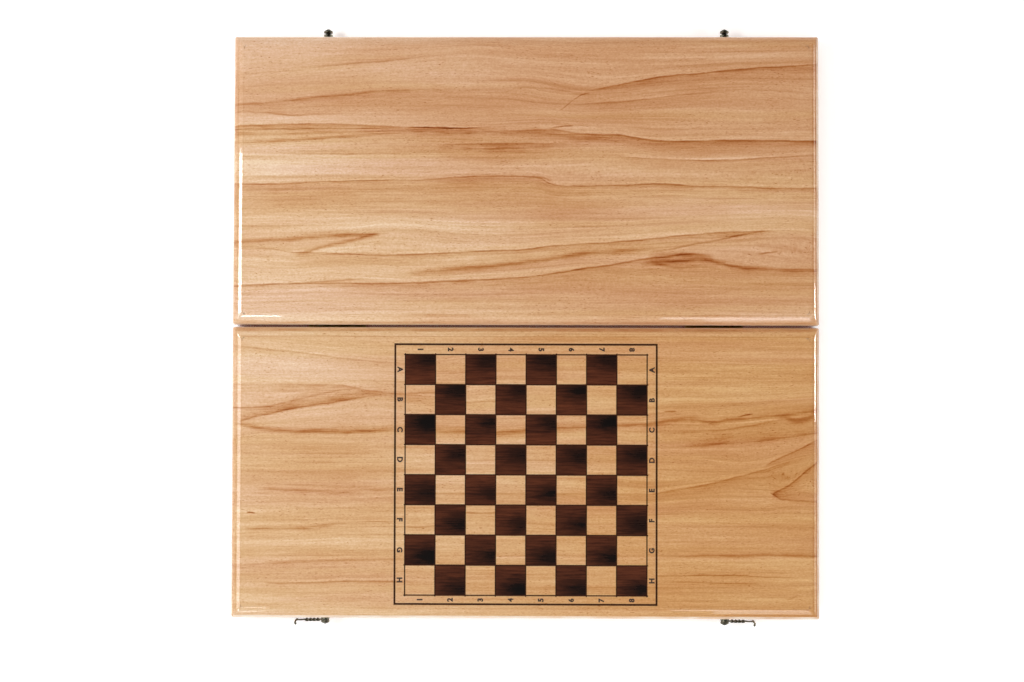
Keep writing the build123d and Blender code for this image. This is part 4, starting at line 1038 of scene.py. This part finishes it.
def build_hook(name, x):
    """A swing hook with a twisted shank. u runs from the pivot to the tip, v towards
    the side that meets the catch and w out from the hook's inner face, in mm."""
    hand = 1 if x > 0 else -1
    droop = math.radians(18.9)
    up = Vector((0.0, CHESS * math.sin(TILT), math.cos(TILT)))
    out = Vector((0.0, CHESS * math.cos(TILT), -math.sin(TILT)))
    along = Vector((1, 0, 0)) * (hand * math.cos(droop)) - up * math.sin(droop)
    aside = out.cross(along) * -hand
    origin = place(CHESS, x, FRONT + 2.5, 14.15)

    def at(u, v, w):
        return origin + (along * u + aside * v + out * w) / 1000.0

    bm = bmesh.new()

    def lathe(profile, count=40):
        loops = []
        for k in range(count):
            a = 2 * math.pi * k / count
            loops.append([bm.verts.new(at(r * math.cos(a), r * math.sin(a), w)) for r, w in profile])
        for k in range(count):
            here, there = loops[k], loops[(k + 1) % count]
            for i in range(len(profile)):
                j = (i + 1) % len(profile)
                bm.faces.new((here[i], here[j], there[j], there[i]))

    def sweep(stations, sides=16, power=0.5):
        """Stations are (u, v, w, half width in the plane, half thickness, twist)."""
        centres = [Vector(s[:3]) for s in stations]
        loops = []
        for k, station in enumerate(stations):
            ahead = centres[min(k + 1, len(centres) - 1)] - centres[max(k - 1, 0)]
            t = ahead.normalized()
            lift = Vector((0, 0, 1)) if abs(t.z) < 0.8 else Vector((1, 0, 0))
            n = lift.cross(t).normalized()
            b = t.cross(n)
            wide, thick, twist = station[3:]
            loop = []
            for i in range(sides):
                a = 2 * math.pi * i / sides
                c, s = math.cos(a), math.sin(a)
                px = wide * math.copysign(abs(c) ** power, c)
                py = thick * math.copysign(abs(s) ** power, s)
                q = centres[k] + n * (px * math.cos(twist) - py * math.sin(twist)) + b * (px * math.sin(twist) + py * math.cos(twist))
                loop.append(bm.verts.new(at(*q)))
            loops.append(loop)
        for here, there in zip(loops, loops[1:]):
            for i in range(sides):
                j = (i + 1) % sides
                bm.faces.new((here[i], here[j], there[j], there[i]))
        bm.faces.new(loops[0][::-1])
        bm.faces.new(loops[-1])

    # The eye round the pivot.
    lathe([(1.85, 0.12), (1.97, 0.0), (3.55, 0.0), (3.85, 0.1), (4.0, 0.35), (4.0, 0.85), (3.85, 1.1), (3.55, 1.2), (1.97, 1.2), (1.85, 1.08)])
    # The shank: flat at both ends, a twisted flat bar between them.
    shank = []
    for k in range(89):
        u = 2.7 + (24.6 - 2.7) * k / 88
        full = min(1.0, max(0.0, (u - 4.6) / 2.4)) * min(1.0, max(0.0, (24.0 - u) / 2.2))
        full = full * full * (3 - 2 * full)
        turn = min(1.0, max(0.0, (u - 6.2) / 16.6))
        wide = 1.9 + (1.75 - 1.9) * full
        thick = 0.66 + (0.9 - 0.66) * full
        w = 0.62 + 1.05 * min(1.0, max(0.0, (u - 5.0) / 16.0))
        v = -0.9 * max(0.0, (u - 21.5) / 3.1) ** 2
        shank.append((u, v, w, wide, thick, turn * math.pi * 4.0))
    sweep(shank, 16, 0.4)
    # The mouth that closes round the neck of the catch.
    mouth = []
    for k in range(33):
        f = k / 32
        a = math.radians(186.0 + 186.0 * f)
        wide = 1.2 - 0.35 * max(0.0, (f - 0.75) / 0.25)
        mouth.append((28.3 + 3.95 * math.cos(a), 3.95 * math.sin(a), 1.65, wide, 0.74, 0.0))
    mouth.insert(0, (24.1, 0.9, 1.65, 0.9, 0.66, 0.0))
    sweep(mouth, 16, 0.6)
    # The tail behind it, which curls outward for a thumb.
    tail = [
        (29.2, -4.1, 1.65, 1.1, 0.7), (29.7, -5.1, 1.7, 1.15, 0.74), (30.1, -6.1, 1.9, 1.15, 0.82),
        (30.4, -7.0, 2.35, 1.12, 0.9), (30.55, -7.6, 3.0, 1.1, 0.95), (30.55, -7.75, 3.8, 1.12, 1.0),
        (30.45, -7.6, 4.6, 1.2, 1.1), (30.3, -7.3, 5.25, 1.22, 1.15), (30.2, -7.0, 5.8, 1.05, 1.0),
        (30.15, -6.8, 6.2, 0.7, 0.68), (30.1, -6.7, 6.4, 0.25, 0.25),
    ]
    sweep([station + (0.0,) for station in tail], 14, 0.85)
    bmesh.ops.recalc_face_normals(bm, faces=bm.faces)
    mesh = bpy.data.meshes.new(name)
    bm.to_mesh(mesh)
    bm.free()
    for polygon in mesh.polygons:
        polygon.use_smooth = True
    mesh.materials.append(bronze)
    piece = bpy.data.objects.new(name, mesh)
    scene.collection.objects.link(piece)
    return piece


for side_name, x in (("left", -204.5), ("right", 204.5)):
    hook = build_hook("swing_hook_" + side_name, x)
    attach(hook, "hook_" + side_name)
    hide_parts("hook_" + side_name)

brass = metal("hinge_brass", rgb(150, 118, 62), rgb(214, 180, 108), 0.28, 260.0, 0.5)
screw_metal = metal("hinge_screw", rgb(140, 108, 58), rgb(222, 194, 128), 0.24, 500.0, 0.6)
for node in (
    "hook_left_base", "hook_right_base", "hook_left_pivot",
    "hook_right_pivot", "catch_left_post", "catch_right_post", "catch_left_flange",
    "catch_right_flange",
):
    dress(node, bronze)
for node in (
    "hinge_left_leaf_a", "hinge_left_leaf_b", "hinge_right_leaf_a", "hinge_right_leaf_b",
    "hinge_left_pin", "hinge_right_pin",
):
    dress(node, brass)
dress("chess_hinge_screws", screw_metal)
dress("plain_hinge_screws", screw_metal)


# ------------------------------------------------------------------ update
bpy.context.view_layer.update()
